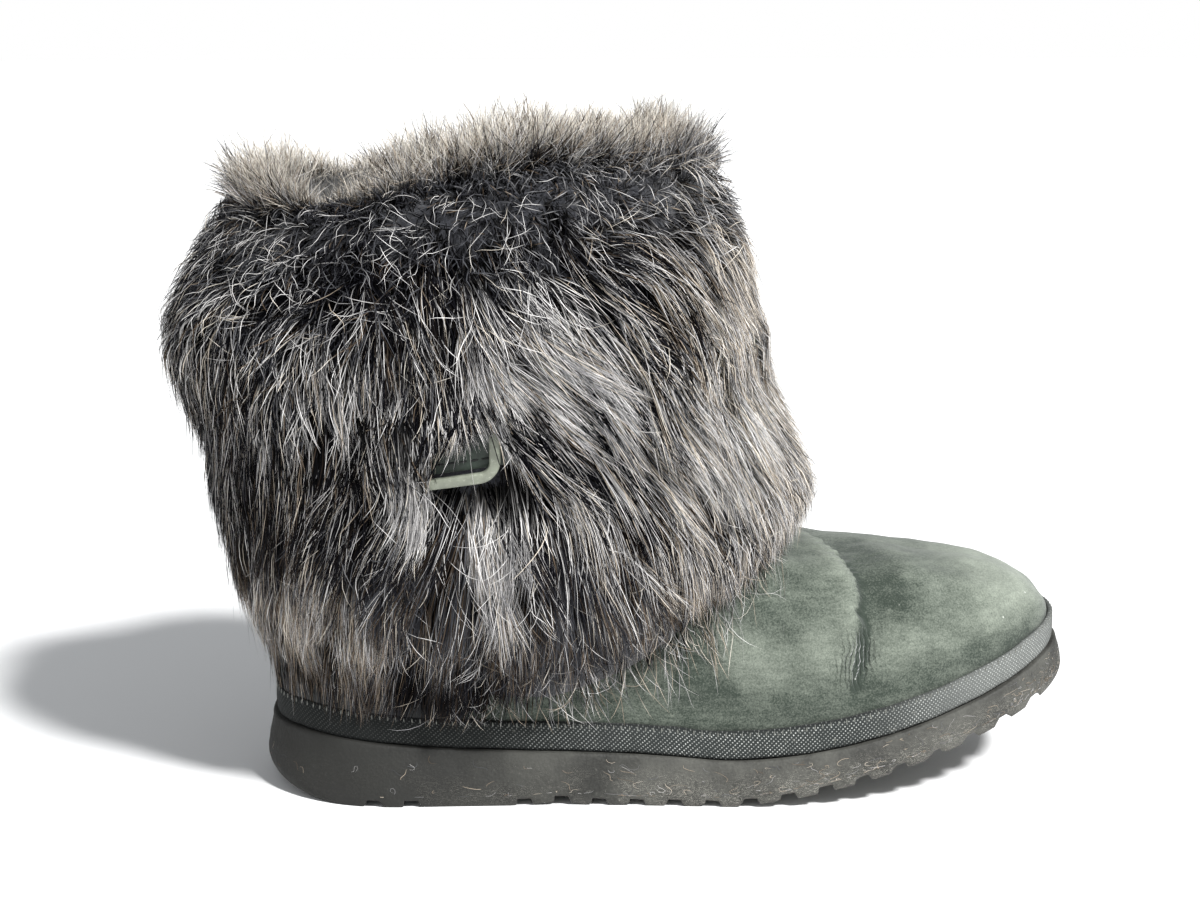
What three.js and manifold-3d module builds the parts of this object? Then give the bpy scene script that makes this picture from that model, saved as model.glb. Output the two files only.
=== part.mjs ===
// A low sheepskin-style boot for the right foot: a lined nubuck foot on a one-piece foam sole, with a
// woven binding tape over the sole joint, a deep fur shaft, and a buckled strap pressed into the fur.
// Units are millimetres. x runs from the heel's back edge to the toe, y to the inner side of the foot,
// and z up from the floor. The exported group moves the origin to the middle of the boot's footprint.

import * as THREE from 'three';
import { mergeVertices } from 'three/addons/utils/BufferGeometryUtils.js';
import Module from 'manifold-3d';

const wasm = await Module();
wasm.setup();

// Driving dimensions

const SOLE_LENGTH = 272;
const TOE_SHIFT = 4; // the toe's tip lies this far to the inner side of the heel's middle
const SEAT_GAP = 0.3; // between two pieces that touch

// Widths of the sole either side of its axis, before its ends are rounded; `at` is a fraction of its length
const SOLE_OUTLINE = [
  { at: 0.00, outer: 38.5, inner: 38.0 },
  { at: 0.12, outer: 39.2, inner: 38.6 },
  { at: 0.24, outer: 39.8, inner: 38.0 },
  { at: 0.38, outer: 41.2, inner: 36.8 },
  { at: 0.50, outer: 44.4, inner: 39.6 },
  { at: 0.63, outer: 48.8, inner: 45.0 },
  { at: 0.78, outer: 51.6, inner: 48.8 },
  { at: 0.90, outer: 51.8, inner: 49.0 },
  { at: 1.00, outer: 51.0, inner: 48.0 },
];
const HEEL_ROUND = { length: 0.18, power: 2.2 }; // the superellipses that close the outline's two ends
const TOE_ROUND = { length: 0.42, power: 2.35 };

// Sole thickness at its edge; `at` is a fraction of its length
const SOLE_THICKNESS = [
  { at: 0.05, thick: 23.2 },
  { at: 0.25, thick: 18.6 },
  { at: 0.45, thick: 16.6 },
  { at: 0.60, thick: 14.0 },
  { at: 0.75, thick: 12.2 },
  { at: 0.90, thick: 12.0 },
  { at: 1.00, thick: 13.0 },
];
const HEEL_BEVEL = { rise: 7, length: 28 };
const ARCH = { rise: 1.0, start: 82, end: 112 };
const TOE_SPRING = { rise: 32.4, start: 148, curve: 1.45 };
const SOLE_LEAN = 3; // the sole's top edge lies this far inside its foot
const SOLE_FOOT = { inset: 1.2, rise: 3.6 }; // the rounding of its lower edge
const TREAD = { first: 36.4, last: 262, pitch: 12.2, width: 4.6, depth: 2.2, slant: 1.8, floor: 3 };
const TREAD_PLAIN = { start: 52, end: 84 }; // no grooves under the waist

const TAPE = { height: 9.5, thickness: 1.8, ledge: 0.5, crown: 0.5 };
const UPPER_WALL = 6; // nubuck and the pile that lines it
const INSOLE_THICKNESS = 4;

// The ankle ring, where the nubuck ends and the shaft is sewn on
const ANKLE = { x: 68, y: 1, halfLength: 58, halfWidth: 41, front: 114, back: 96 };

// The upper's meridians, from the binding tape to the ankle ring. `at` runs from heel to toe, `turn` is
// the angle on the ankle ring, and the rest steers the curve: it leaves the tape with a `bulge` outwards
// over a `rise`, passes over a shoulder `reach` of the way in at a `height` above the floor, and comes up
// under the ankle ring from `drop` below it, `spread` outside it.
const MERIDIANS = [
  { at: 0.0, turn: 180, bulge: 4.0, rise: 18, reach: 0.10, height: 66, spread: 0, drop: 18 },
  { at: 0.1, turn: 157, bulge: 3.5, rise: 18, reach: 0.15, height: 66, spread: 0, drop: 18 },
  { at: 0.2, turn: 128, bulge: 2.5, rise: 18, reach: 0.20, height: 67, spread: 0, drop: 19 },
  { at: 0.3, turn: 99, bulge: 2.0, rise: 19, reach: 0.25, height: 69, spread: 1, drop: 20 },
  { at: 0.4, turn: 70, bulge: 2.5, rise: 20, reach: 0.30, height: 73, spread: 3, drop: 21 },
  { at: 0.5, turn: 48, bulge: 3.5, rise: 22, reach: 0.32, height: 78, spread: 6, drop: 22 },
  { at: 0.6, turn: 33, bulge: 4.0, rise: 24, reach: 0.34, height: 79, spread: 9, drop: 25 },
  { at: 0.7, turn: 22, bulge: 4.0, rise: 24, reach: 0.36, height: 77, spread: 11, drop: 31 },
  { at: 0.8, turn: 14, bulge: 3.0, rise: 28, reach: 0.37, height: 76, spread: 12, drop: 44 },
  { at: 0.9, turn: 7, bulge: 0.0, rise: 23, reach: 0.39, height: 81, spread: 12, drop: 50 },
  { at: 1.0, turn: 0, bulge: -2.5, rise: 18, reach: 0.40, height: 83, spread: 12, drop: 50 },
];
const INSTEP_SHIFT = 4; // the ridge of the foot lies this far to the inner side

// The outside of the fur, ring by ring. `front` and `back` are x, `outer` and `inner` half widths, and
// the three heights are taken at the front, at the sides and at the back of the ring.
const FUR_RINGS = [
  { name: 'crown', front: 138, back: 0, outer: 54, inner: 54, zFront: 217, zSide: 208, zBack: 197 },
  { name: 'rim', front: 149, back: -11, outer: 65, inner: 63, zFront: 207, zSide: 199, zBack: 190 },
  { name: 'shoulder', front: 159, back: -25, outer: 72, inner: 70, zFront: 180, zSide: 176, zBack: 169 },
  { name: 'belly', front: 166, back: -31, outer: 75, inner: 72, zFront: 154, zSide: 150, zBack: 151 },
  { name: 'belt', front: 175, back: -21, outer: 73, inner: 70, zFront: 126, zSide: 120, zBack: 120 },
  { name: 'skirt', front: 183, back: -15, outer: 67.5, inner: 65, zFront: 107, zSide: 84, zBack: 90 },
  { name: 'fringe', front: 186, back: -6, outer: 58.5, inner: 56, zFront: 97, zSide: 53, zBack: 59 },
  { name: 'hem', front: 180, back: 3, outer: 50.5, inner: 49.5, zFront: 88, zSide: 38, zBack: 43 },
];
const HEM_CLIMB = 1.6; // how late the rings climb from the side to the front
const RIM_WAVE = { height: 4, lobes: 3, phase: -Math.PI / 3 };
const COLLAR = { x: 70, halfLength: 58, halfWidth: 42, above: 30 }; // the opening at the rim

// The strap lies in a channel pressed into the fur, and rises towards the front
const STRAP = { x: 76, halfLength: 90, halfWidth: 68.5, z: 129, tilt: 13, width: 18, thickness: 2.2 };
const CHANNEL = { margin: 0.5, reach: 24 };
const BUCKLE = { turn: 100, length: 36, height: 26, corner: 6, bar: 3.4, thickness: 2.8 };
const BUCKLE_POCKET = 1.6; // room round the buckle in the fur

const HALF_STEPS = 30; // steps along each side of the foot's rings
const FUR_STEPS = 44; // steps round the shaft's rings
const FUR_ROWS = 14; // rows from the crown to the hem
const VAMP_ROWS = 9; // rows from the tape to the ankle ring

const MATERIALS = {
  sole: new THREE.MeshStandardMaterial({ color: 0x55534c, roughness: 0.8, metalness: 0 }),
  tape: new THREE.MeshStandardMaterial({ color: 0x3c413f, roughness: 0.9, metalness: 0 }),
  nubuck: new THREE.MeshStandardMaterial({ color: 0x6b7868, roughness: 0.95, metalness: 0 }),
  insole: new THREE.MeshStandardMaterial({ color: 0x33342f, roughness: 1, metalness: 0 }),
  fur: new THREE.MeshStandardMaterial({ color: 0x5a534c, roughness: 1, metalness: 0 }),
  strap: new THREE.MeshStandardMaterial({ color: 0x2c332e, roughness: 0.7, metalness: 0 }),
  buckle: new THREE.MeshStandardMaterial({ color: 0x8b907a, roughness: 0.55, metalness: 0.2 }),
};

// Curves and rings

// A smooth curve through one column of a table whose rows are in order of `key`
function column(rows, key, name) {
  const slope = (i) => {
    const before = rows[Math.max(i - 1, 0)];
    const after = rows[Math.min(i + 1, rows.length - 1)];
    return (after[name] - before[name]) / (after[key] - before[key]);
  };
  return (x) => {
    const clamped = Math.min(Math.max(x, rows[0][key]), rows[rows.length - 1][key]);
    let i = 0;
    while (i < rows.length - 2 && clamped > rows[i + 1][key]) i += 1;
    const span = rows[i + 1][key] - rows[i][key];
    const s = (clamped - rows[i][key]) / span;
    const ease = s * s * (3 - 2 * s);
    const leave = s * (1 - s) * (1 - s) * span * slope(i);
    const arrive = s * s * (s - 1) * span * slope(i + 1);
    return rows[i][name] * (1 - ease) + rows[i + 1][name] * ease + leave + arrive;
  };
}

const lerp = THREE.MathUtils.lerp;
const smooth = THREE.MathUtils.smoothstep;
const outerWidth = column(SOLE_OUTLINE, 'at', 'outer');
const innerWidth = column(SOLE_OUTLINE, 'at', 'inner');
const soleThickness = column(SOLE_THICKNESS, 'at', 'thick');

// Step i of a ring round the foot: 0 at the heel, HALF_STEPS at the toe, back along the inner side
function station(i) {
  const side = i <= HALF_STEPS ? -1 : 1;
  const along = (side < 0 ? i : 2 * HALF_STEPS - i) / HALF_STEPS;
  return { side, along };
}

function outlinePoint(i) {
  const { side, along } = station(i);
  const at = (1 - Math.cos(Math.PI * along)) / 2;
  const width = side < 0 ? outerWidth(at) : innerWidth(at);
  const shift = TOE_SHIFT * smooth(at, 1 - TOE_ROUND.length, 1);
  const rounding = endRounding(1 - at / HEEL_ROUND.length, HEEL_ROUND.power)
    * endRounding(1 - (1 - at) / TOE_ROUND.length, TOE_ROUND.power);
  return new THREE.Vector2(at * SOLE_LENGTH, side * width * rounding + shift);
}

// A superellipse's height at `q` of its length; it is 1 before its start
function endRounding(q, power) {
  return Math.pow(Math.max(0, 1 - Math.pow(Math.max(0, q), power)), 1 / power);
}

// The outline moved inwards by `inset`
function outlineRing(inset) {
  const count = 2 * HALF_STEPS;
  const points = Array.from({ length: count }, (_, i) => outlinePoint(i));
  return points.map((point, i) => {
    const run = points[(i + 1) % count].clone().sub(points[(i + count - 1) % count]).normalize();
    return new THREE.Vector2(point.x - run.y * inset, point.y + run.x * inset);
  });
}

function soleBottom(x) {
  const bevel = HEEL_BEVEL.rise * Math.pow(Math.max(0, 1 - x / HEEL_BEVEL.length), 2);
  const archAt = (x - ARCH.start) / (ARCH.end - ARCH.start);
  const arch = archAt > 0 && archAt < 1 ? ARCH.rise * Math.pow(Math.sin(Math.PI * archAt), 2) : 0;
  const springAt = Math.max(0, x - TOE_SPRING.start) / (SOLE_LENGTH - TOE_SPRING.start);
  return bevel + arch + TOE_SPRING.rise * Math.pow(springAt, TOE_SPRING.curve);
}

function soleTop(x) {
  const floor = x < ARCH.end ? 0 : soleBottom(x);
  return floor + soleThickness(x / SOLE_LENGTH);
}

function raise(ring, height) {
  return ring.map((point) => new THREE.Vector3(point.x, point.y, height(point.x)));
}

// The line down the middle of a foot ring that its inner points run to
function spine(ring, height) {
  const margin = SOLE_LENGTH * 0.14;
  return ring.map((point, i) => {
    const opposite = ring[(ring.length - i) % ring.length];
    const x = Math.min(Math.max((point.x + opposite.x) / 2, margin), SOLE_LENGTH - margin);
    const y = TOE_SHIFT * smooth(x, SOLE_LENGTH / 2, SOLE_LENGTH) / 2;
    return new THREE.Vector3(x, y, height(x));
  });
}

function halfway(ring, middle, height) {
  return ring.map((point, i) => {
    const x = (point.x + middle[i].x) / 2;
    return new THREE.Vector3(x, (point.y + middle[i].y) / 2, height(x));
  });
}

// Solids

// A closed mesh from points and triangles, with doubled points merged and faces that have no area dropped
function solidFrom(points, triangles) {
  const loose = new THREE.BufferGeometry();
  const places = points.flatMap((p) => [p.x, p.y, p.z]);
  loose.setAttribute('position', new THREE.Float32BufferAttribute(places, 3));
  loose.setIndex(triangles.flat());
  const merged = mergeVertices(loose, 1e-3);
  const index = merged.index.array;
  const kept = [];
  for (let i = 0; i < index.length; i += 3) {
    const [a, b, c] = [index[i], index[i + 1], index[i + 2]];
    if (a !== b && b !== c && c !== a) kept.push(a, b, c);
  }
  merged.setIndex(signedVolume(merged.attributes.position, kept) < 0 ? kept.reverse() : kept);
  return merged;
}

function signedVolume(position, index) {
  const corner = (i) => new THREE.Vector3().fromBufferAttribute(position, index[i]);
  let volume = 0;
  for (let i = 0; i < index.length; i += 3) {
    volume += corner(i).dot(corner(i + 1).cross(corner(i + 2))) / 6;
  }
  return volume;
}

function strips(ringCount, pointCount, wrap) {
  const triangles = [];
  for (let r = 0; r < (wrap ? ringCount : ringCount - 1); r += 1) {
    for (let i = 0; i < pointCount; i += 1) {
      const next = (i + 1) % pointCount;
      const [low, high] = [r * pointCount, ((r + 1) % ringCount) * pointCount];
      triangles.push([low + i, low + next, high + next], [low + i, high + next, high + i]);
    }
  }
  return triangles;
}

// A tube wall: rings that go up the outside and down the inside, the last one joined to the first
function loopSolid(rings) {
  return solidFrom(rings.flat(), strips(rings.length, rings[0].length, true));
}

// Rings whose first and last ones have already closed onto a line
function shellSolid(rings) {
  return solidFrom(rings.flat(), strips(rings.length, rings[0].length, false));
}

// Rings closed at both ends by a fan round the ring's middle
function cappedSolid(rings) {
  const count = rings[0].length;
  const triangles = strips(rings.length, count, false);
  const points = rings.flat();
  const lastStart = (rings.length - 1) * count;
  for (const [ring, start, flip] of [[rings[0], 0, true], [rings[rings.length - 1], lastStart, false]]) {
    const middle = ring.reduce((sum, p) => sum.add(p), new THREE.Vector3()).divideScalar(count);
    points.push(middle);
    for (let i = 0; i < count; i += 1) {
      const [a, b] = [start + i, start + (i + 1) % count];
      triangles.push(flip ? [b, a, points.length - 1] : [a, b, points.length - 1]);
    }
  }
  return solidFrom(points, triangles);
}

function toManifold(geometry) {
  const bare = new THREE.BufferGeometry();
  bare.setAttribute('position', geometry.attributes.position);
  bare.setIndex(geometry.index);
  const merged = mergeVertices(bare, 1e-3);
  const vertProperties = new Float32Array(merged.attributes.position.array);
  const triVerts = new Uint32Array(merged.index.array);
  return new wasm.Manifold(new wasm.Mesh({ numProp: 3, vertProperties, triVerts }));
}

function toGeometry(manifold) {
  const mesh = manifold.getMesh();
  const geometry = new THREE.BufferGeometry();
  geometry.setAttribute('position', new THREE.Float32BufferAttribute(mesh.vertProperties, 3));
  geometry.setIndex(Array.from(mesh.triVerts));
  return geometry;
}

// Sole

function soleGeometry() {
  const middleHeight = (x) => lerp(soleBottom(x), soleTop(x), 0.5);
  const foot = outlineRing(SOLE_FOOT.inset);
  const top = outlineRing(SOLE_LEAN);
  const footSpine = spine(foot, soleBottom);
  const topSpine = spine(top, soleTop);
  const body = toManifold(shellSolid([
    footSpine,
    halfway(foot, footSpine, soleBottom),
    raise(foot, soleBottom),
    raise(outlineRing(0), (x) => soleBottom(x) + SOLE_FOOT.rise),
    raise(outlineRing(SOLE_LEAN * 0.35), middleHeight),
    raise(outlineRing(SOLE_LEAN * 0.75), (x) => soleTop(x) - 1),
    raise(top, soleTop),
    halfway(top, topSpine, soleTop),
    topSpine,
  ]));
  return toGeometry(grooves().reduce((sole, groove) => sole.subtract(groove), body));
}

// Cross grooves with one steep and one slanted wall, cut upwards from the tread
function grooves() {
  const cutters = [];
  for (let x = TREAD.first; x < TREAD.last; x += TREAD.pitch) {
    if (x > TREAD_PLAIN.start && x < TREAD_PLAIN.end) continue;
    const [back, front] = [x - TREAD.width / 2, x + TREAD.width / 2];
    const profile = new THREE.Shape([
      new THREE.Vector2(back, soleBottom(back) - TREAD.floor),
      new THREE.Vector2(front + TREAD.slant, soleBottom(front) - TREAD.floor),
      new THREE.Vector2(front, soleBottom(front) + TREAD.depth),
      new THREE.Vector2(back, soleBottom(back) + TREAD.depth),
    ]);
    const width = SOLE_LENGTH / 2;
    const cutter = new THREE.ExtrudeGeometry(profile, { depth: width, bevelEnabled: false });
    cutter.rotateX(Math.PI / 2).translate(0, width / 2, 0);
    cutter.deleteAttribute('normal');
    cutter.deleteAttribute('uv');
    cutters.push(toManifold(mergeVertices(cutter)));
  }
  return cutters;
}

// Upper

const UPPER_INSET = SOLE_LEAN + TAPE.ledge + TAPE.thickness + SEAT_GAP;
const meridianColumns = Object.fromEntries(
  Object.keys(MERIDIANS[0]).map((name) => [name, column(MERIDIANS, 'at', name)]),
);
const upperFoot = outlineRing(UPPER_INSET);

function anklePoint(turn, side) {
  const angle = THREE.MathUtils.degToRad(turn);
  const x = ANKLE.x + ANKLE.halfLength * Math.cos(angle);
  return new THREE.Vector3(x, ANKLE.y + side * ANKLE.halfWidth * Math.sin(angle), ankleHeight(x));
}

function ankleHeight(x) {
  const along = (x - ANKLE.x + ANKLE.halfLength) / (2 * ANKLE.halfLength);
  return lerp(ANKLE.back, ANKLE.front, along);
}

// The points of one meridian: up the tape's band, then over the shoulder to the ankle ring
function meridian(i) {
  const { side, along } = station(i);
  const read = (name) => meridianColumns[name](along);
  const foot = upperFoot[i];
  const ankle = anklePoint(read('turn'), side);
  const base = new THREE.Vector3(foot.x, foot.y, soleTop(foot.x) + SEAT_GAP);
  const start = base.clone().setZ(base.z + TAPE.height);
  const outward = new THREE.Vector3(start.x - ankle.x, start.y - ankle.y, 0).normalize();
  const bulge = outward.clone().multiplyScalar(read('bulge'));
  const rise = start.clone().add(bulge).setZ(start.z + read('rise'));
  const shoulder = rise.clone().lerp(ankle, read('reach')).setZ(read('height'));
  shoulder.y += INSTEP_SHIFT * smooth(along, 0.3, 0.7);
  const under = ankle.clone().addScaledVector(outward, read('spread'));
  under.z -= read('drop');
  const controls = [start, rise, shoulder, under, ankle];
  const weights = [1, 4, 6, 4, 1];
  const curve = (t) => controls.reduce((sum, control, k) => (
    sum.addScaledVector(control, weights[k] * Math.pow(t, k) * Math.pow(1 - t, 4 - k))
  ), new THREE.Vector3());
  return [base, ...Array.from({ length: VAMP_ROWS + 1 }, (_, row) => curve(row / VAMP_ROWS))];
}

// The upper's outside as rows of rings, from the sole to the ankle ring
function upperRings() {
  const meridians = Array.from({ length: 2 * HALF_STEPS }, (_, i) => meridian(i));
  return meridians[0].map((_, row) => meridians.map((points) => points[row]));
}

// The same rows moved outwards by `distance`; the lowest follows the sole and the highest the ankle's plane
function offsetRings(rings, distance) {
  const count = rings[0].length;
  const ankleNormal = new THREE.Vector3(ANKLE.back - ANKLE.front, 0, 2 * ANKLE.halfLength).normalize();
  return rings.map((ring, row) => ring.map((point, i) => {
    const round = ring[(i + 1) % count].clone().sub(ring[(i + count - 1) % count]);
    const lower = rings[Math.max(row - 1, 0)][i];
    const upper = rings[Math.min(row + 1, rings.length - 1)][i];
    const normal = round.cross(upper.clone().sub(lower)).normalize();
    if (row <= 1) normal.setZ(0).normalize();
    if (row === rings.length - 1) normal.projectOnPlane(ankleNormal).normalize();
    const moved = point.clone().addScaledVector(normal, distance);
    if (row === 0) moved.z = soleTop(moved.x) + SEAT_GAP;
    return moved;
  }));
}

const outsideRings = upperRings();

function upperGeometry() {
  const inside = offsetRings(outsideRings, -UPPER_WALL);
  return loopSolid([...outsideRings, ...inside.reverse()]);
}

// Binding tape and insole

function tapeGeometry() {
  const level = (height) => (x) => soleTop(x) + SEAT_GAP + height;
  const insideInset = SOLE_LEAN + TAPE.ledge + TAPE.thickness;
  const outsideInset = SOLE_LEAN + TAPE.ledge;
  return loopSolid([
    raise(outlineRing(insideInset), level(0)),
    raise(outlineRing(outsideInset + TAPE.crown), level(0)),
    raise(outlineRing(outsideInset), level(TAPE.height * 0.3)),
    raise(outlineRing(outsideInset), level(TAPE.height * 0.7)),
    raise(outlineRing(outsideInset + TAPE.crown), level(TAPE.height)),
    raise(outlineRing(insideInset), level(TAPE.height)),
  ]);
}

function insoleGeometry() {
  const edge = outlineRing(UPPER_INSET + UPPER_WALL + SEAT_GAP);
  const underside = (x) => soleTop(x) + SEAT_GAP;
  const topside = (x) => underside(x) + INSOLE_THICKNESS;
  const lowSpine = spine(edge, underside);
  const highSpine = spine(edge, topside);
  return shellSolid([
    lowSpine,
    halfway(edge, lowSpine, underside),
    raise(edge, underside),
    raise(edge, topside),
    halfway(edge, highSpine, topside),
    highSpine,
  ]);
}

// Shaft

const furColumns = Object.fromEntries(
  Object.keys(FUR_RINGS[0]).filter((name) => name !== 'name').map((name) => [
    name, column(FUR_RINGS.map((ring, at) => ({ at, value: ring[name] })), 'at', 'value'),
  ]),
);

// A point on the fur's outside; `down` runs from 0 at the crown to 1 at the hem
function furPoint(angle, down) {
  const read = (name) => furColumns[name](down * (FUR_RINGS.length - 1));
  const [along, across] = [Math.cos(angle), Math.sin(angle)];
  const x = lerp(read('back'), read('front'), (1 + along) / 2);
  const y = across * (across < 0 ? read('outer') : read('inner'));
  const climb = Math.pow(Math.abs(along), HEM_CLIMB);
  const z = lerp(read('zSide'), along > 0 ? read('zFront') : read('zBack'), climb);
  const wave = RIM_WAVE.height * Math.sin(RIM_WAVE.lobes * angle + RIM_WAVE.phase);
  return new THREE.Vector3(x, y, z + wave * Math.pow(1 - down, 4));
}

function furRing(down) {
  return Array.from({ length: FUR_STEPS }, (_, i) => furPoint((2 * Math.PI * i) / FUR_STEPS, down));
}

// An ellipse ring; `height` gives z for an x
function ellipseRing(middle, halfLength, halfWidth, height) {
  return Array.from({ length: FUR_STEPS }, (_, i) => {
    const angle = (2 * Math.PI * i) / FUR_STEPS;
    const x = middle.x + halfLength * Math.cos(angle);
    return new THREE.Vector3(x, middle.y + halfWidth * Math.sin(angle), height(x));
  });
}

// The room for the leg, from just under the ankle ring to above the rim
function legRoom() {
  const ankleInside = offsetRings(outsideRings, -UPPER_WALL).pop();
  const below = ankleInside.map((point) => point.clone().setZ(point.z - UPPER_WALL));
  const turnOf = (point) => Math.atan2(
    (point.y - ANKLE.y) / ANKLE.halfWidth,
    (point.x - ANKLE.x) / ANKLE.halfLength,
  );
  const collar = (height) => ankleInside.map((point) => {
    const angle = turnOf(point);
    return new THREE.Vector3(
      COLLAR.x + COLLAR.halfLength * Math.cos(angle),
      ANKLE.y + COLLAR.halfWidth * Math.sin(angle),
      height,
    );
  });
  const rimHeight = FUR_RINGS[0].zFront;
  const [collarLow, collarHigh] = [rimHeight - COLLAR.above, rimHeight + COLLAR.above].map(collar);
  return toManifold(cappedSolid([below, ankleInside, collarLow, collarHigh]));
}

// The foot's outside, a seat gap larger, that the fur closes round
function footRoom() {
  const rings = offsetRings(outsideRings, SEAT_GAP);
  const top = rings[rings.length - 1].map((point) => point.clone().setZ(point.z + SEAT_GAP));
  return toManifold(cappedSolid([...rings.slice(0, -1), top]));
}

const strapHeight = (x) => STRAP.z + STRAP.tilt * ((x - STRAP.x) / STRAP.halfLength);
const strapMiddle = { x: STRAP.x, y: 0 };

// A band round the shaft, `halfHeight` to each side of the strap's middle line, between two offsets of it
function bandRings(inside, outside, halfHeight) {
  const ring = (offset, height) => ellipseRing(
    strapMiddle, STRAP.halfLength + offset, STRAP.halfWidth + offset, (x) => strapHeight(x) + height,
  );
  return [
    ring(inside, -halfHeight),
    ring(outside, -halfHeight),
    ring(outside, halfHeight),
    ring(inside, halfHeight),
  ];
}

function strapChannel() {
  const halfHeight = STRAP.width / 2 + CHANNEL.margin;
  return toManifold(loopSolid(bandRings(-STRAP.thickness - SEAT_GAP, CHANNEL.reach, halfHeight)));
}

function shaftGeometry() {
  const rings = Array.from({ length: FUR_ROWS + 1 }, (_, row) => furRing(row / FUR_ROWS));
  const fur = toManifold(cappedSolid(rings));
  const rooms = [footRoom(), legRoom(), strapChannel(), buckleRoom()];
  return toGeometry(rooms.reduce((rest, room) => rest.subtract(room), fur));
}

// Strap and buckle

function strapGeometry() {
  return loopSolid(bandRings(-STRAP.thickness, 0, STRAP.width / 2));
}

// Where the buckle lies on the strap, and how it is turned
function buckleSeat() {
  const angle = THREE.MathUtils.degToRad(BUCKLE.turn);
  const along = new THREE.Vector2(STRAP.halfLength * Math.sin(angle), STRAP.halfWidth * Math.cos(angle));
  const out = new THREE.Vector2(along.y, -along.x).setLength(SEAT_GAP + BUCKLE.thickness / 2);
  const x = STRAP.x + STRAP.halfLength * Math.cos(angle) + out.x;
  const y = -STRAP.halfWidth * Math.sin(angle) + out.y;
  const pitch = -Math.atan2(STRAP.tilt, STRAP.halfLength);
  return { position: new THREE.Vector3(x, y, strapHeight(x)), yaw: along.angle(), pitch };
}

function roundedRectangle(length, height, corner) {
  const [x, y] = [length / 2 - corner, height / 2 - corner];
  const shape = new THREE.Shape();
  shape.absarc(x, y, corner, 0, Math.PI / 2);
  shape.absarc(-x, y, corner, Math.PI / 2, Math.PI);
  shape.absarc(-x, -y, corner, Math.PI, 1.5 * Math.PI);
  shape.absarc(x, -y, corner, 1.5 * Math.PI, 2 * Math.PI);
  return shape;
}

// An upright plate in the buckle's place, turned as the buckle is, with its middle at the origin
function uprightPlate(shape, depth) {
  const seat = buckleSeat();
  const plate = new THREE.ExtrudeGeometry(shape, { depth, bevelEnabled: false, curveSegments: 5 });
  plate.rotateX(Math.PI / 2).translate(0, BUCKLE.thickness / 2, 0);
  plate.rotateY(seat.pitch).rotateZ(seat.yaw);
  return plate;
}

function buckleGeometry() {
  const frame = roundedRectangle(BUCKLE.length, BUCKLE.height, BUCKLE.corner);
  const inside = BUCKLE.length - 2 * BUCKLE.bar;
  const hole = roundedRectangle(inside, BUCKLE.height - 2 * BUCKLE.bar, BUCKLE.corner - BUCKLE.bar / 2);
  frame.holes.push(hole);
  return uprightPlate(frame, BUCKLE.thickness);
}

// The room that the buckle takes in the fur, from just behind it outwards
function buckleRoom() {
  const [length, height] = [BUCKLE.length + 2 * BUCKLE_POCKET, BUCKLE.height + 2 * BUCKLE_POCKET];
  const room = uprightPlate(roundedRectangle(length, height, BUCKLE.corner + BUCKLE_POCKET), CHANNEL.reach);
  const seat = buckleSeat();
  const inwards = new THREE.Vector3(-Math.sin(seat.yaw), Math.cos(seat.yaw), 0).multiplyScalar(SEAT_GAP);
  room.translate(...seat.position.add(inwards).toArray());
  return toManifold(room);
}

// Assembly

const boot = new THREE.Group();

function add(name, geometry, material) {
  const mesh = new THREE.Mesh(geometry, material);
  mesh.name = name;
  boot.add(mesh);
  return mesh;
}

add('sole', soleGeometry(), MATERIALS.sole);
add('binding_tape', tapeGeometry(), MATERIALS.tape);
add('upper', upperGeometry(), MATERIALS.nubuck);
add('insole', insoleGeometry(), MATERIALS.insole);
add('shaft', shaftGeometry(), MATERIALS.fur);
add('strap', strapGeometry(), MATERIALS.strap);
add('buckle', buckleGeometry(), MATERIALS.buckle).position.copy(buckleSeat().position);

const box = new THREE.Box3().setFromObject(boot);
boot.position.set(-(box.min.x + box.max.x) / 2, -(box.min.y + box.max.y) / 2, -box.min.z);

export default boot;
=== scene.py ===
import math

import bpy
import numpy as np
from bpy.props import FloatProperty, FloatVectorProperty, IntProperty, PointerProperty
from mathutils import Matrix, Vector
from mathutils.bvhtree import BVHTree


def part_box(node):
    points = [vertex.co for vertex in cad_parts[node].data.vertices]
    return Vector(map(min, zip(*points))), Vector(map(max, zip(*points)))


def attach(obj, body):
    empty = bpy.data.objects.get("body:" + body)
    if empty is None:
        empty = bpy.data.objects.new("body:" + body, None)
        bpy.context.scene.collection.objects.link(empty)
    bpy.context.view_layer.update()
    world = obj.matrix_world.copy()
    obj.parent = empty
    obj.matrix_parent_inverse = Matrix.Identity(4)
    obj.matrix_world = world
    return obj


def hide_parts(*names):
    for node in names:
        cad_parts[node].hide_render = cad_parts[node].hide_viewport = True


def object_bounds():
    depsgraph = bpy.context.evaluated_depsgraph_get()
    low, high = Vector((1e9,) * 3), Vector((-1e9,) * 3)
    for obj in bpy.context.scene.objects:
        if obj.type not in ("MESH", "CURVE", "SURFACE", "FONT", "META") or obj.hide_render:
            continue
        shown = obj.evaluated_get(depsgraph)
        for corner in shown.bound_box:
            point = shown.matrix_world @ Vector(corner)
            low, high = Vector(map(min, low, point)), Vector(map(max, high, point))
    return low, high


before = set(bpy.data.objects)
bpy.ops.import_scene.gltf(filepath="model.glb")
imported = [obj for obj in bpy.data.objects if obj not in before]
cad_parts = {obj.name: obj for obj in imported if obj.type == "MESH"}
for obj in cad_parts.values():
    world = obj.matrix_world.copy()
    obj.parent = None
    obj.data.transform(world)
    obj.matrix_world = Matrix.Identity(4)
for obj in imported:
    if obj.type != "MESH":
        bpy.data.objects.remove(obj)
CAD_BOX = [list(corner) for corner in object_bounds()]

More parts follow.
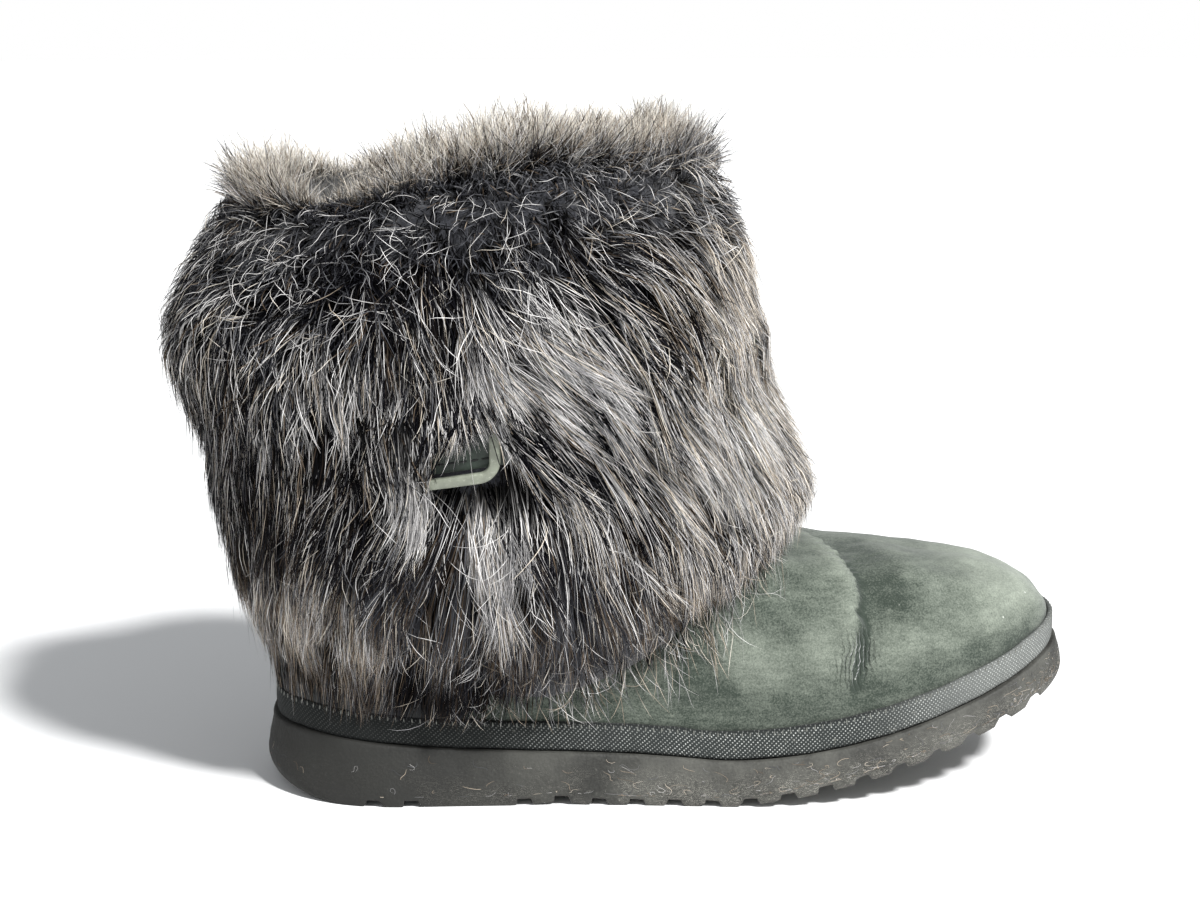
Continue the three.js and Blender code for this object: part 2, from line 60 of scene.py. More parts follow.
bl_info = {
    "name": "Fur-cuffed boot",
    "version": (1, 0, 0),
    "blender": (4, 5, 0),
    "location": "3D View > Sidebar > Boot",
    "description": "Dresses a packed boot: foam sole, bound nubuck foot, and a deep fur shaft",
    "category": "Object",
}

# The boot's own measure is the millimetre: x runs from the heel's back edge to the toe, y to the
# inner side of the foot, and z up from the floor. to_frame() takes it to the frame's metres.

MM = 0.001
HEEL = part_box("sole")[0].x / MM
MIDDLE = (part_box("strap")[0].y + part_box("strap")[1].y) / 2 / MM
LENGTH = (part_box("sole")[1].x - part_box("sole")[0].x) / MM

SEAT_GAP = 0.3
TOE_SHIFT = 4.0


def table(names, *rows):
    """The columns of a short table, by name. A table that is read as a curve has its rows in
    order of its first column."""
    return dict(zip(names.split(), np.array(rows, float).T))


SOLE_OUTLINE = table(
    "at outer inner",
    (0.00, 38.5, 38.0),
    (0.12, 39.2, 38.6),
    (0.24, 39.8, 38.0),
    (0.38, 41.2, 36.8),
    (0.50, 44.4, 39.6),
    (0.63, 48.8, 45.0),
    (0.78, 51.6, 48.8),
    (0.90, 51.8, 49.0),
    (1.00, 51.0, 48.0),
)
HEEL_ROUND, HEEL_POWER = 0.18, 2.2
TOE_ROUND, TOE_POWER = 0.42, 2.35
SOLE_THICKNESS = table(
    "at thick",
    (0.05, 23.2),
    (0.25, 18.6),
    (0.45, 16.6),
    (0.60, 14.0),
    (0.75, 12.2),
    (0.90, 12.0),
    (1.00, 13.0),
)
BEVEL_RISE, BEVEL_LENGTH = 7.0, 28.0
ARCH_RISE, ARCH_START, ARCH_END = 1.0, 82.0, 112.0
SPRING_RISE, SPRING_START, SPRING_CURVE = 32.4, 148.0, 1.45
SOLE_LEAN, FOOT_RISE = 3.0, 3.6
TREAD_FIRST, TREAD_LAST, TREAD_PITCH = 36.4, 262.0, 12.2
TREAD_WIDTH, TREAD_DEPTH, TREAD_STEP = 4.6, 2.2, 0.3
TREAD_RAMP = 1.8 * 0.6
TREAD_PLAIN = (52.0, 84.0)
TAPE_HEIGHT, TAPE_THICKNESS, TAPE_LEDGE = 9.5, 1.8, 0.5
UPPER_WALL, INSOLE_THICKNESS = 6.0, 4.0
TAPE_OUTSIDE = SOLE_LEAN + TAPE_LEDGE
TAPE_INSIDE = TAPE_OUTSIDE + TAPE_THICKNESS
UPPER_INSET = TAPE_INSIDE + SEAT_GAP
INSOLE_INSET = UPPER_INSET + UPPER_WALL + 2 * SEAT_GAP

# Sections of the sole's edge and of the tape. The sole's rows are inset and share of the height,
# first over its rounded foot, which takes FOOT_SHARE of the shading's rise, then up its wall. The
# tape's rows are inset and height, and its length is measured along row TAPE_FACE.
SOLE_FOOT = ((1.2, 0.0), (0.65, 0.25), (0.2, 0.6), (0.0, 1.0))
SOLE_WALL = (
    (0.25, 0.2),
    (0.62, 0.4),
    (1.15, 0.6),
    (1.7, 0.8),
    (2.15, 0.93),
    (2.55, 0.985),
    (3.0, 1.0),
)
FOOT_SHARE = 0.2
TAPE_SECTION = (
    (TAPE_INSIDE, 0.0),
    (TAPE_OUTSIDE + 0.9, 0.0),
    (TAPE_OUTSIDE + 0.35, 0.35),
    (TAPE_OUTSIDE + 0.12, 1.2),
    (TAPE_OUTSIDE, 0.3 * TAPE_HEIGHT),
    (TAPE_OUTSIDE - 0.05, 0.5 * TAPE_HEIGHT),
    (TAPE_OUTSIDE, 0.7 * TAPE_HEIGHT),
    (TAPE_OUTSIDE + 0.25, TAPE_HEIGHT - 0.9),
    (TAPE_OUTSIDE + 0.55, TAPE_HEIGHT - 0.2),
    (TAPE_OUTSIDE + 1.0, TAPE_HEIGHT),
    (TAPE_INSIDE, TAPE_HEIGHT),
)
TAPE_FACE = 4
# The tape's stitches: their size, colour, place in from the tape's face and down from its top
TAPE_STITCH, TAPE_THREAD = (1.9, 0.55, 0.5), (0.14, 0.145, 0.13)
STITCH_INSET, STITCH_DROP = 0.30, 1.15
# How far the counter reaches round the ring from the heel, and the steps of the upper's lining
COUNTER_REACH, COUNTER_THICKNESS = 0.33, 1.1
LINING_ROWS, LINING_STEP = 16, 4
UPWARD = np.array([0, 0, 1.0])
# How many steps the pieces are cut into, lengthwise or round
SOLE_STEPS, TAPE_STEPS, STITCH_STEPS, INSOLE_STEPS, COUNTER_STEPS = 190, 181, 900, 80, 97
SHAFT_STEPS, STRAP_STEPS = 160, 220

ANKLE_X, ANKLE_Y, ANKLE_LENGTH, ANKLE_WIDTH = 68.0, 1.0, 58.0, 41.0
ANKLE_FRONT, ANKLE_BACK = 114.0, 96.0
MERIDIANS = table(
    "along turn bulge rise reach height spread drop",
    (0.0, 180, 4.0, 18, 0.10, 66, 0, 18),
    (0.1, 157, 3.5, 18, 0.15, 66, 0, 18),
    (0.2, 128, 2.5, 18, 0.20, 67, 0, 19),
    (0.3, 99, 2.0, 19, 0.25, 69, 1, 20),
    (0.4, 70, 2.5, 20, 0.30, 73, 3, 21),
    (0.5, 48, 3.5, 22, 0.32, 78, 6, 22),
    (0.6, 33, 4.0, 24, 0.34, 79, 9, 25),
    (0.7, 22, 4.0, 24, 0.36, 77, 11, 31),
    (0.8, 14, 3.0, 28, 0.37, 76, 12, 44),
    (0.9, 7, 0.0, 23, 0.39, 81, 12, 50),
    (1.0, 0, -2.5, 18, 0.40, 83, 12, 50),
)
INSTEP_SHIFT = 4.0

# The fur's outside, ring by ring from the crown to the hem
FUR_RINGS = table(
    "ring front back outer inner z_front z_side z_back",
    (0, 138, 0, 54, 54, 217, 208, 197),
    (1, 149, -11, 65, 63, 207, 199, 190),
    (2, 159, -25, 72, 70, 180, 176, 169),
    (3, 166, -31, 75, 72, 154, 150, 151),
    (4, 175, -21, 73, 70, 126, 120, 120),
    (5, 183, -15, 67.5, 65, 107, 84, 90),
    (6, 186, -6, 58.5, 56, 97, 53, 59),
    (7, 180, 3, 50.5, 49.5, 88, 38, 43),
)
LAST_RING = 7
HEM_CLIMB = 1.6
WAVE_HEIGHT, WAVE_LOBES, WAVE_PHASE = 4.0, 3, -math.pi / 3
COLLAR_X, COLLAR_LENGTH, COLLAR_WIDTH = 70.0, 58.0, 42.0

STRAP_X, STRAP_LENGTH, STRAP_SIDE, STRAP_Z, STRAP_TILT = 76.0, 90.0, 68.5, 129.0, 13.0
STRAP_WIDTH, STRAP_THICKNESS = 18.0, 2.2
# How far the strap presses the fur in, and how far the upper front puffs out
STRAP_PRESS, FRONT_PUFF = 2.0, 5.0
STRAP_HALF, STRAP_SEAM = STRAP_WIDTH / 2, STRAP_WIDTH / 2 - 3.0
# The strap's section from either edge: out from its outer face, and in from the edge
STRAP_EDGE = (
    (-STRAP_THICKNESS, 0.4),
    (-STRAP_THICKNESS * 0.5, 0.0),
    (-0.35, 0.15),
    (0.0, 0.8),
    (0.0, 2.4),
    (-0.18, 3.0),
    (0.0, 3.6),
)
STRAP_SECTION = (
    *((out, inward - STRAP_HALF) for out, inward in STRAP_EDGE),
    (0.0, 0.0),
    *((out, STRAP_HALF - inward) for out, inward in reversed(STRAP_EDGE)),
)
BUCKLE_MIDDLE, BUCKLE_LENGTH, BUCKLE_HEIGHT = 2 * math.pi - math.radians(100), 36.0, 26.0
BUCKLE_CORNER, BUCKLE_BAR, BUCKLE_THICKNESS, BUCKLE_SOFT = 6.0, 3.4, 2.8, 0.55

# How the hair lies, seen from the outer side: at each place, `lay` is its direction in degrees (0
# to the toe, -90 down), then its length, how bright and how warm its tips are, how much it curls
# and how full it is
COMB = table(
    "x z lay length bright warm curl full",
    (-22, 186, -155, 34, 0.25, 0.2, 0.80, 1.0),
    (-26, 165, -130, 38, 0.44, 0.3, 0.50, 1.0),
    (-20, 145, -112, 40, 0.44, 0.4, 0.30, 1.0),
    (-14, 120, -98, 42, 0.26, 0.5, 0.20, 1.0),
    (-11, 100, -94, 42, 0.1, 0.5, 0.20, 1.0),
    (0, 84, -108, 40, 0.15, 0.6, 0.20, 1.0),
    (12, 68, -100, 36, 0.62, 0.8, 0.25, 1.0),
    (2, 192, -150, 28, 0.09, 0.2, 1.00, 0.8),
    (10, 177, -118, 36, 0.24, 0.1, 0.90, 0.9),
    (33, 180, -75, 32, -0.11, 0.1, 0.90, 0.6),
    (45, 188, -98, 28, -0.04, 0.2, 1.00, 0.8),
    (24, 162, -98, 38, 0.4, 0.2, 0.60, 0.9),
    (4, 150, -112, 42, 0.18, 0.3, 0.40, 1.0),
    (28, 140, -92, 45, 1.05, 0.2, 0.30, 1.0),
    (46, 160, -84, 40, 0.32, 0.2, 0.50, 1.0),
    (44, 128, -94, 44, 0.20, 0.4, 0.20, 1.0),
    (14, 120, -103, 45, 0.26, 0.5, 0.20, 1.0),
    (24, 98, -122, 42, 0.08, 0.5, 0.20, 1.0),
    (46, 100, -132, 36, 0.74, 0.3, 0.25, 1.0),
    (40, 76, -100, 36, -0.15, 0.5, 0.30, 1.0),
    (62, 196, -84, 20, 0.03, 0.3, 0.8, 0.8),
    (70, 176, -80, 28, 0.1, 0.4, 0.7, 0.9),
    (62, 150, -86, 40, 0.44, 0.3, 0.40, 1.0),
    (92, 190, -65, 26, 0.5, 0.2, 0.75, 0.8),
    (86, 170, -66, 40, 0.74, 0.1, 0.2, 1.0),
    (84, 150, -50, 46, 1.05, 0.1, 0.15, 1.0),
    (102, 160, -45, 46, 1.0, 0.1, 0.15, 1.0),
    (112, 184, -42, 32, 0.35, 0.4, 0.55, 0.9),
    (120, 166, -46, 45, 0.56, 0.5, 0.15, 1.0),
    (142, 178, -50, 34, 1.2, 0.9, 0.25, 1.0),
    (134, 156, -50, 45, -0.05, 0.8, 0.15, 1.0),
    (104, 136, -43, 46, 0.95, 0.1, 0.12, 1.0),
    (130, 130, -46, 46, 0.7, 0.4, 0.12, 1.0),
    (150, 150, -56, 42, 1.3, 0.7, 0.20, 1.0),
    (161, 128, -62, 40, 1.16, 0.6, 0.20, 1.0),
    (168, 110, -62, 34, 0.95, 0.6, 0.25, 0.9),
    (146, 104, -60, 42, 0.98, 0.6, 0.20, 1.0),
    (120, 104, -62, 42, 0.55, 0.4, 0.20, 1.0),
    (94, 116, -42, 42, 0.24, 0.1, 0.30, 0.9),
    (82, 104, -78, 38, 1.5, 0.1, 0.30, 1.0),
    (64, 100, -98, 34, 0.85, 0.2, 0.35, 0.9),
    (76, 76, -88, 38, 1.3, 0.1, 0.25, 1.0),
    (96, 82, -75, 36, 0.25, 0.3, 0.30, 1.0),
    (120, 80, -68, 36, 0.55, 0.7, 0.30, 0.9),
    (142, 78, -70, 28, 0.65, 0.8, 0.40, 0.6),
    (60, 60, -92, 28, 0.14, 0.5, 0.40, 0.9),
    (100, 56, -80, 26, -0.1, 0.6, 0.50, 0.6),
    (22, 56, -96, 28, 1.25, 0.9, 0.30, 0.9),
)
COMB_REACH = 9.0
# Hollows where the locks part, darkened with painted shade
HOLLOWS = table(
    "x z radius",
    (33, 178, 8),
    (24, 164, 5),
    (6, 164, 4),
    (53, 172, 4),
    (97, 196, 5),
    (106, 118, 6),
    (124, 107, 5),
    (86, 112, 4),
    (38, 102, 4),
)
# How much longer the far side's pile stands along the boot
CROWN_PILE = table(
    "x longer",
    (-5, 4.5),
    (10, 3),
    (25, 0.5),
    (35, -2.5),
    (45, 4),
    (64, 6.5),
    (82, 6),
    (99, 0.7),
    (113, -4),
    (121, -2.5),
    (130, 2),
    (138, 4.5),
)
# Where the hair's lower edge hangs along the boot
HEM_LINE = table(
    "x z",
    (50, 27),
    (84, 28),
    (97, 38),
    (109, 47),
    (126, 52),
    (142, 56),
    (157, 68),
    (167, 78),
    (173, 86),
)
# From the crown (0) to the hem (1): how deep the hair lies over the skin, and how full it grows
FUR_DEPTH = table(
    "down deep grows",
    (0.00, 4.5, 0.0),
    (0.08, 4.5, 0.0),
    (0.14, 5.0, 0.05),
    (0.20, 6.0, 0.12),
    (0.31, 11.0, 1.0),
    (0.40, 14.5, 1.0),
    (0.65, 14.0, 1.0),
    (0.80, 10.5, 0.9),
    (0.90, 8.0, 0.55),
    (1.00, 5.0, 0.2),
)
# The flex fold over the vamp's outer side: its line, and how deep and wide it is there
FLEX_FOLD = table(
    "z x y deep wide",
    (40.0, 193.0, -42.5, 0.5, 3.0),
    (50.0, 195.5, -40.0, 1.8, 4.0),
    (57.0, 196.5, -37.5, 3.0, 4.6),
    (63.0, 197.0, -34.5, 3.8, 5.0),
    (68.5, 196.8, -30.0, 4.0, 5.0),
    (73.5, 196.0, -25.0, 3.8, 4.6),
    (77.8, 194.0, -19.0, 3.2, 4.2),
    (80.5, 191.0, -13.0, 2.2, 4.0),
    (82.0, 187.0, -6.0, 1.0, 4.0),
)
RIPPLE_PITCH = 3.1
# Where the nubuck is rubbed pale, and with a negative amount where painted shade darkens it just
# below the hair's hem: x, z, size and amount
WEAR_AND_SHADE_SPOTS = ((156, 49, 11, 0.42), (182, 52, 8, 0.30), (208, 52, 9, 0.36), (163, 68, 13, -0.26))

# Curves and rings


def column(rows, name):
    """A smooth curve through one column of a table, read against its first column."""
    at, value = next(iter(rows.values())), rows[name]
    steps = np.arange(len(at))
    before, after = np.maximum(steps - 1, 0), np.minimum(steps + 1, len(at) - 1)
    slope = (value[after] - value[before]) / (at[after] - at[before])

    def read(x):
        x = np.clip(x, at[0], at[-1])
        i = np.clip(np.searchsorted(at, x) - 1, 0, len(at) - 2)
        span = at[i + 1] - at[i]
        s = (x - at[i]) / span
        ease = s * s * (3 - 2 * s)
        leave = s * (1 - s) ** 2 * span * slope[i]
        arrive = s * s * (s - 1) * span * slope[i + 1]
        return value[i] * (1 - ease) + value[i + 1] * ease + leave + arrive

    return read


def columns(rows):
    return {name: column(rows, name) for name in rows}


def straight(rows, at):
    """A value read by straight lines from a table of two columns."""
    return np.interp(at, *rows.values())


def lerp(a, b, t):
    return a + (b - a) * t


def smooth(x, start, end):
    t = np.clip((x - start) / (end - start), 0, 1)
    return t * t * (3 - 2 * t)


def hill(off, wide):
    """1 where `off` is 0, sinking to 0 over a few times `wide`."""
    return np.exp(-((off / wide) ** 2))


def unit(v):
    return v / np.maximum(np.linalg.norm(v, axis=-1, keepdims=True), 1e-9)


def dot(a, b):
    return (a * b).sum(-1, keepdims=True)


def stack(*parts):
    return np.stack(np.broadcast_arrays(*parts), -1).astype(float)


def raised(flat, height):
    """Points of the floor plan, put at their heights."""
    return stack(flat[..., 0], flat[..., 1], height)


OUTER_WIDTH, INNER_WIDTH = column(SOLE_OUTLINE, "outer"), column(SOLE_OUTLINE, "inner")
SOLE_EDGE = column(SOLE_THICKNESS, "thick")
FUR, MERIDIAN, DEPTH = columns(FUR_RINGS), columns(MERIDIANS), columns(FUR_DEPTH)


def foot_ring(along):
    """Ring places from 0 at the heel along the outer side to 1 at the toe, and back to 2."""
    return np.concatenate([along, 2 - along[::-1]])


def outline(place, inset=0.0):
    """The sole's outline at ring places, moved inwards by `inset`."""

    def point(at_ring):
        at_ring = at_ring % 2
        along = np.where(at_ring <= 1, at_ring, 2 - at_ring)
        at = (1 - np.cos(np.pi * along)) / 2
        width = np.where(at_ring <= 1, -OUTER_WIDTH(at), INNER_WIDTH(at))
        heel = (1 - np.maximum(0, 1 - at / HEEL_ROUND) ** HEEL_POWER) ** (1 / HEEL_POWER)
        toe = (1 - np.maximum(0, 1 - (1 - at) / TOE_ROUND) ** TOE_POWER) ** (1 / TOE_POWER)
        return stack(at * LENGTH, width * heel * toe + TOE_SHIFT * smooth(at, 1 - TOE_ROUND, 1))

    step = 1 / 60
    run = unit(point(place + step) - point(place - step))
    return point(place) + inset * stack(-run[..., 1], run[..., 0])


def sole_bottom(x):
    """The underside's height beside its grooves: bevel at the heel, arch and toe spring."""
    bevel = BEVEL_RISE * np.maximum(0, 1 - x / BEVEL_LENGTH) ** 2
    arch_at = np.clip((x - ARCH_START) / (ARCH_END - ARCH_START), 0, 1)
    spring_at = np.maximum(0, x - SPRING_START) / (LENGTH - SPRING_START)
    return bevel + ARCH_RISE * np.sin(np.pi * arch_at) ** 2 + SPRING_RISE * spring_at**SPRING_CURVE


def sole_top(x):
    return np.where(x < ARCH_END, 0, sole_bottom(x)) + SOLE_EDGE(x / LENGTH)


def ankle_point(turn, side):
    """The nubuck's top edge, at a turn from the front to a side: -1 is outer and 1 inner."""
    x = ANKLE_X + ANKLE_LENGTH * np.cos(turn)
    z = lerp(ANKLE_BACK, ANKLE_FRONT, (x - ANKLE_X + ANKLE_LENGTH) / (2 * ANKLE_LENGTH))
    return stack(x, ANKLE_Y + side * ANKLE_WIDTH * np.sin(turn), z)


def upper_point(place, v):
    """The nubuck's outside: v is 0 at the tape's top, 1 at the ankle and under 0 in the tape."""
    place, v = np.broadcast_arrays(place % 2, v)
    side = np.where(place <= 1, -1, 1)
    along = np.where(place <= 1, place, 2 - place)
    read = {name: curve(along)[..., None] for name, curve in MERIDIAN.items()}
    foot = outline(place, UPPER_INSET)
    ankle = ankle_point(np.radians(read["turn"][..., 0]), side)
    start = stack(foot[..., 0], foot[..., 1], sole_top(foot[..., 0]) + SEAT_GAP + TAPE_HEIGHT)
    outward = unit((start - ankle) * [1, 1, 0])
    rise = start + outward * read["bulge"] + read["rise"] * [0, 0, 1]
    shoulder = lerp(rise, ankle, read["reach"])
    shoulder[..., 2] = read["height"][..., 0]
    shoulder[..., 1] += INSTEP_SHIFT * smooth(along, 0.3, 0.7)
    under = ankle + outward * read["spread"] - read["drop"] * [0, 0, 1]
    t = np.clip(v, 0, 1)[..., None]
    controls = ((start, 1), (rise, 4), (shoulder, 6), (under, 4), (ankle, 1))
    point = sum(weight * t**k * (1 - t) ** (4 - k) * at for k, (at, weight) in enumerate(controls))
    point[..., 2] += np.minimum(v, 0) * TAPE_HEIGHT
    return point


def fur_point(angle, down):
    """The fur's outside: the angle is 0 at the front, and `down` runs from 0 at the crown to 1 at
    the hem."""
    read = {name: curve(np.clip(down, 0, 1) * LAST_RING) for name, curve in FUR.items()}
    along, across = np.cos(angle), np.sin(angle)
    x = lerp(read["back"], read["front"], (1 + along) / 2)
    y = across * np.where(across < 0, read["outer"], read["inner"])
    ends = np.where(along > 0, read["z_front"], read["z_back"])
    z = lerp(read["z_side"], ends, np.abs(along) ** HEM_CLIMB)
    wave = WAVE_HEIGHT * np.sin(WAVE_LOBES * angle + WAVE_PHASE) * (1 - np.clip(down, 0, 1)) ** 4
    past = np.maximum(0, down - 1)
    return stack(x - 12 * along * past, y * (1 - 0.15 * past), z + wave - 105 * past)


def fur_frame(angle, down):
    """A point of the fur's outside, the ways round it and down it, and the way out of it."""
    step = 0.004
    point = fur_point(angle, down)
    round_way = (fur_point(angle + step, down) - fur_point(angle - step, down)) / (2 * step)
    low = np.maximum(down - step, 0)
    span = (down + step - low)[..., None]
    down_way = (fur_point(angle, down + step) - fur_point(angle, low)) / span
    return point, round_way, down_way, unit(np.cross(down_way, round_way))


def strap_height(x):
    return STRAP_Z + STRAP_TILT * (x - STRAP_X) / STRAP_LENGTH


def pressed(point):
    """How far in the strap presses the fur near it; where the upper front puffs out, under 0."""
    x, z = point[..., 0], point[..., 2]
    off = (z - strap_height(x) + 3) / 9
    puff = FRONT_PUFF * smooth(z, 150, 184) * smooth(x, 108, 140)
    return STRAP_PRESS * np.exp(-off * off) - puff


def wander(point, size, seed):
    """A smooth random value near -1 to 1 at each point, whose swells are about `size` across."""
    draw = np.random.default_rng(seed)
    total = 0
    for _ in range(7):
        wave = draw.normal(size=3)
        wave *= 2 * math.pi / (size * draw.uniform(0.7, 1.6) * np.linalg.norm(wave))
        total = total + np.sin(point @ wave + draw.uniform(0, 2 * math.pi))
    return total / 2.6


# Meshes


def to_frame(points):
    return (np.asarray(points, float) + [HEEL, MIDDLE, 0]) * MM


def grid(rows, across, wrap=True, closed=False, start=0):
    """The quads of rings of points, from one ring up to the next."""
    low = np.arange(rows if closed else rows - 1)[:, None]
    here = np.arange(across if wrap else across - 1)[None]
    up, right = (low + 1) % rows, (here + 1) % across
    corners = (low * across + here, low * across + right, up * across + right, up * across + here)
    return np.stack(corners, -1).reshape(-1, 4) + start


def add_object(name, data):
    made = bpy.data.objects.new(name, data)
    bpy.context.scene.collection.objects.link(made)
    return made


def new_piece(name, points, faces, finishes, slot, stands_for=(), finish_of=None, **layers):
    """A smooth mesh that rides on the boot. `faces` is a list of arrays of faces with equal
    corners, `finish_of` numbers each face's finish, and `layers` holds values of its points:
    one each for an attribute, two for a flat map."""
    mesh = bpy.data.meshes.new(name)
    mesh.vertices.add(len(points))
    mesh.vertices.foreach_set("co", to_frame(points).astype(np.float32).ravel())
    corners = np.concatenate([group.ravel() for group in faces]).astype(np.int32)
    sizes = np.concatenate([np.full(len(group), group.shape[1]) for group in faces])
    mesh.loops.add(len(corners))
    mesh.loops.foreach_set("vertex_index", corners)
    mesh.polygons.add(len(sizes))
    mesh.polygons.foreach_set("loop_start", (np.cumsum(sizes) - sizes).astype(np.int32))
    mesh.polygons.foreach_set("use_smooth", np.ones(len(sizes), bool))
    if finish_of is not None:
        mesh.polygons.foreach_set("material_index", finish_of.astype(np.int32))
    for layer, values in layers.items():
        if values.ndim == 2:
            uv = mesh.uv_layers.new(name=layer, do_init=False)
            uv.data.foreach_set("uv", values[corners].astype(np.float32).ravel())
        else:
            attribute = mesh.attributes.new(layer, "FLOAT", "POINT")
            attribute.data.foreach_set("value", values.astype(np.float32))
    mesh.update(calc_edges=True)
    mesh.validate()
    for finish in finishes:
        mesh.materials.append(finish)
    made = add_object(name, mesh)
    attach(made, "root")
    if stands_for:
        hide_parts(*stands_for)
    return made


def slab(outer, inner):
    """A thin closed sheet from the grids of its outer and inner faces, and its four edges."""
    rows, across = outer.shape[:2]
    count = rows * across
    here, up = np.arange(across - 1), np.arange(rows - 1) * across
    last, end = (rows - 1) * across, across - 1
    edges = (
        (here + count, here + 1 + count, here + 1, here),
        (last + here, last + here + 1, last + here + 1 + count, last + here + count),
        (up, up + across, up + across + count, up + count),
        (up + end, up + end + count, up + across + end + count, up + across + end),
    )
    faces = [grid(rows, across, wrap=False), grid(rows, across, wrap=False, start=count)[:, ::-1]]
    faces += [np.stack(edge, -1) for edge in edges]
    return np.concatenate([outer.reshape(-1, 3), inner.reshape(-1, 3)]), faces


def many(points, faces, spots, turns, sizes):
    """Copies of a small mesh: each is scaled, turned by its own axes and put at its spot."""
    shaped = points[None] * sizes[:, None]
    placed = np.einsum("nij,nkj->nki", turns, shaped) + spots[:, None]
    shift = np.arange(len(spots))[:, None, None] * len(points)
    copies = [(group[None] + shift).reshape(-1, group.shape[1]) for group in faces]
    return placed.reshape(-1, 3), copies


def bead():
    """A small closed pill one unit across, for stitches."""
    rings, around = 5, 6
    lean = (np.linspace(0.12, 0.88, rings) * math.pi)[:, None]
    turn = (np.arange(around) * 2 * math.pi / around)[None]
    points = 0.5 * stack(-np.cos(lean), np.sin(lean) * np.sin(turn), np.sin(lean) * np.cos(turn))
    points = np.concatenate([points.reshape(-1, 3), [[-0.5, 0, 0], [0.5, 0, 0]]])
    here = np.arange(around)
    after, last = (here + 1) % around, (rings - 1) * around
    back, front = np.full(around, rings * around), np.full(around, rings * around + 1)
    caps = [np.stack([after, here, back], -1), np.stack([here + last, after + last, front], -1)]
    return points, [grid(rings, around), np.concatenate(caps)]


# Finishes

DUST, FLUFF, SPECK = (0.33, 0.33, 0.29), (0.50, 0.48, 0.42), (0.52, 0.54, 0.49)
SPECK_SIZE, PORE_SIZE = 5.2 * MM, 1.1 * MM
WRINKLE_PITCH, TWILL_PITCH, WEFT_PITCH = 1.7 * MM, 1.7 * MM, 1.3 * MM


def rgb(colour, share=1.0):
    """A colour made darker or lighter by `share`, with its alpha."""
    return (*(share * part for part in colour), 1.0)


class Finish:
    """A material being wired up; each method adds one node and gives its output."""

    def __init__(self, name):
        self.material = bpy.data.materials.new(name)
        self.material.use_nodes = True
        self.nodes = self.material.node_tree.nodes
        self.links = self.material.node_tree.links
        self.shader = self.nodes["Principled BSDF"]
        self.where = self.node("ShaderNodeTexCoord").outputs["Object"]

    def node(self, kind, inputs=None, **settings):
        made = self.nodes.new(kind)
        for key, value in settings.items():
            setattr(made, key, value)
        for key, value in (inputs or {}).items():
            self.feed(made.inputs[key], value)
        return made

    def feed(self, socket, value):
        if isinstance(value, bpy.types.NodeSocket):
            self.links.new(value, socket)
        else:
            socket.default_value = value

    def stretch(self, scale, turn=(0, 0, 0)):
        inputs = {"Vector": self.where, "Scale": scale, "Rotation": turn}
        return self.node("ShaderNodeMapping", inputs).outputs[0]

    def noise(self, size, detail=3.0, rough=0.55, vector=None, warp=0.0):
        """Soft random value; `size` is in metres."""
        inputs = {"Scale": 1 / size, "Detail": detail, "Roughness": rough, "Distortion": warp}
        inputs["Vector"] = vector or self.where
        return self.node("ShaderNodeTexNoise", inputs).outputs["Fac"]

    def cells(self, size, vector=None, output="Distance", **settings):
        inputs = {"Scale": 1 / size, "Vector": vector or self.where}
        return self.node("ShaderNodeTexVoronoi", inputs, **settings).outputs[output]

    def axes(self, vector=None):
        return self.node("ShaderNodeSeparateXYZ", {0: vector or self.where}).outputs

    def math(self, operation, a, b=0.0, c=0.0):
        made = self.node("ShaderNodeMath", {0: a, 1: b, 2: c}, operation=operation)
        return made.outputs[0]

    def times(self, a, b):
        return self.math("MULTIPLY", a, b)

    def plus(self, a, b):
        return self.math("ADD", a, b)

    def minus(self, a, b):
        return self.math("SUBTRACT", a, b)

    def scaled(self, a, b, c):
        """a times b, plus c."""
        return self.math("MULTIPLY_ADD", a, b, c)

    def waves(self, value, pitch):
        return self.math("SINE", self.times(value, 2 * math.pi / pitch))

    def apart(self, a, b):
        """How far two values are apart."""
        return self.math("ABSOLUTE", self.minus(a, b))

    def fit(self, value, low, high, to_low=0.0, to_high=1.0):
        ends = {"From Min": low, "From Max": high, "To Min": to_low, "To Max": to_high}
        inputs = {"Value": value, **ends}
        return self.node("ShaderNodeMapRange", inputs, interpolation_type="SMOOTHSTEP").outputs[0]

    def blend(self, share, a, b, kind="MIX"):
        made = self.node("ShaderNodeMix", data_type="RGBA", blend_type=kind)
        for socket, value in ((0, share), (6, a), (7, b)):
            self.feed(made.inputs[socket], value)
        return made.outputs[2]

    def ramp(self, value, *stops):
        made = self.node("ShaderNodeValToRGB", {"Fac": value})
        elements = made.color_ramp.elements
        while len(elements) < len(stops):
            elements.new(0.5)
        for element, (at, colour) in zip(elements, stops):
            element.position = at
            element.color = colour if len(colour) == 4 else rgb(colour)
        return made.outputs[0]

    def value(self, name):
        return self.node("ShaderNodeAttribute", attribute_name=name).outputs["Fac"]

    def flat_map(self, name):
        """The two lengths of a piece's own flat map."""
        return self.axes(self.node("ShaderNodeUVMap", uv_map=name).outputs[0])[:2]

    def bump(self, height, depth, strength=1.0, normal=None):
        inputs = {"Height": height, "Distance": depth, "Strength": strength}
        if normal is not None:
            inputs["Normal"] = normal
        return self.node("ShaderNodeBump", inputs).outputs[0]

    def done(self, colour, roughness, normal=None, **plain):
        self.feed(self.shader.inputs["Base Color"], colour)
        self.feed(self.shader.inputs["Roughness"], roughness)
        if normal is not None:
            self.feed(self.shader.inputs["Normal"], normal)
        for key, value in plain.items():
            self.shader.inputs[key.replace("_", " ")].default_value = value
        return self.material


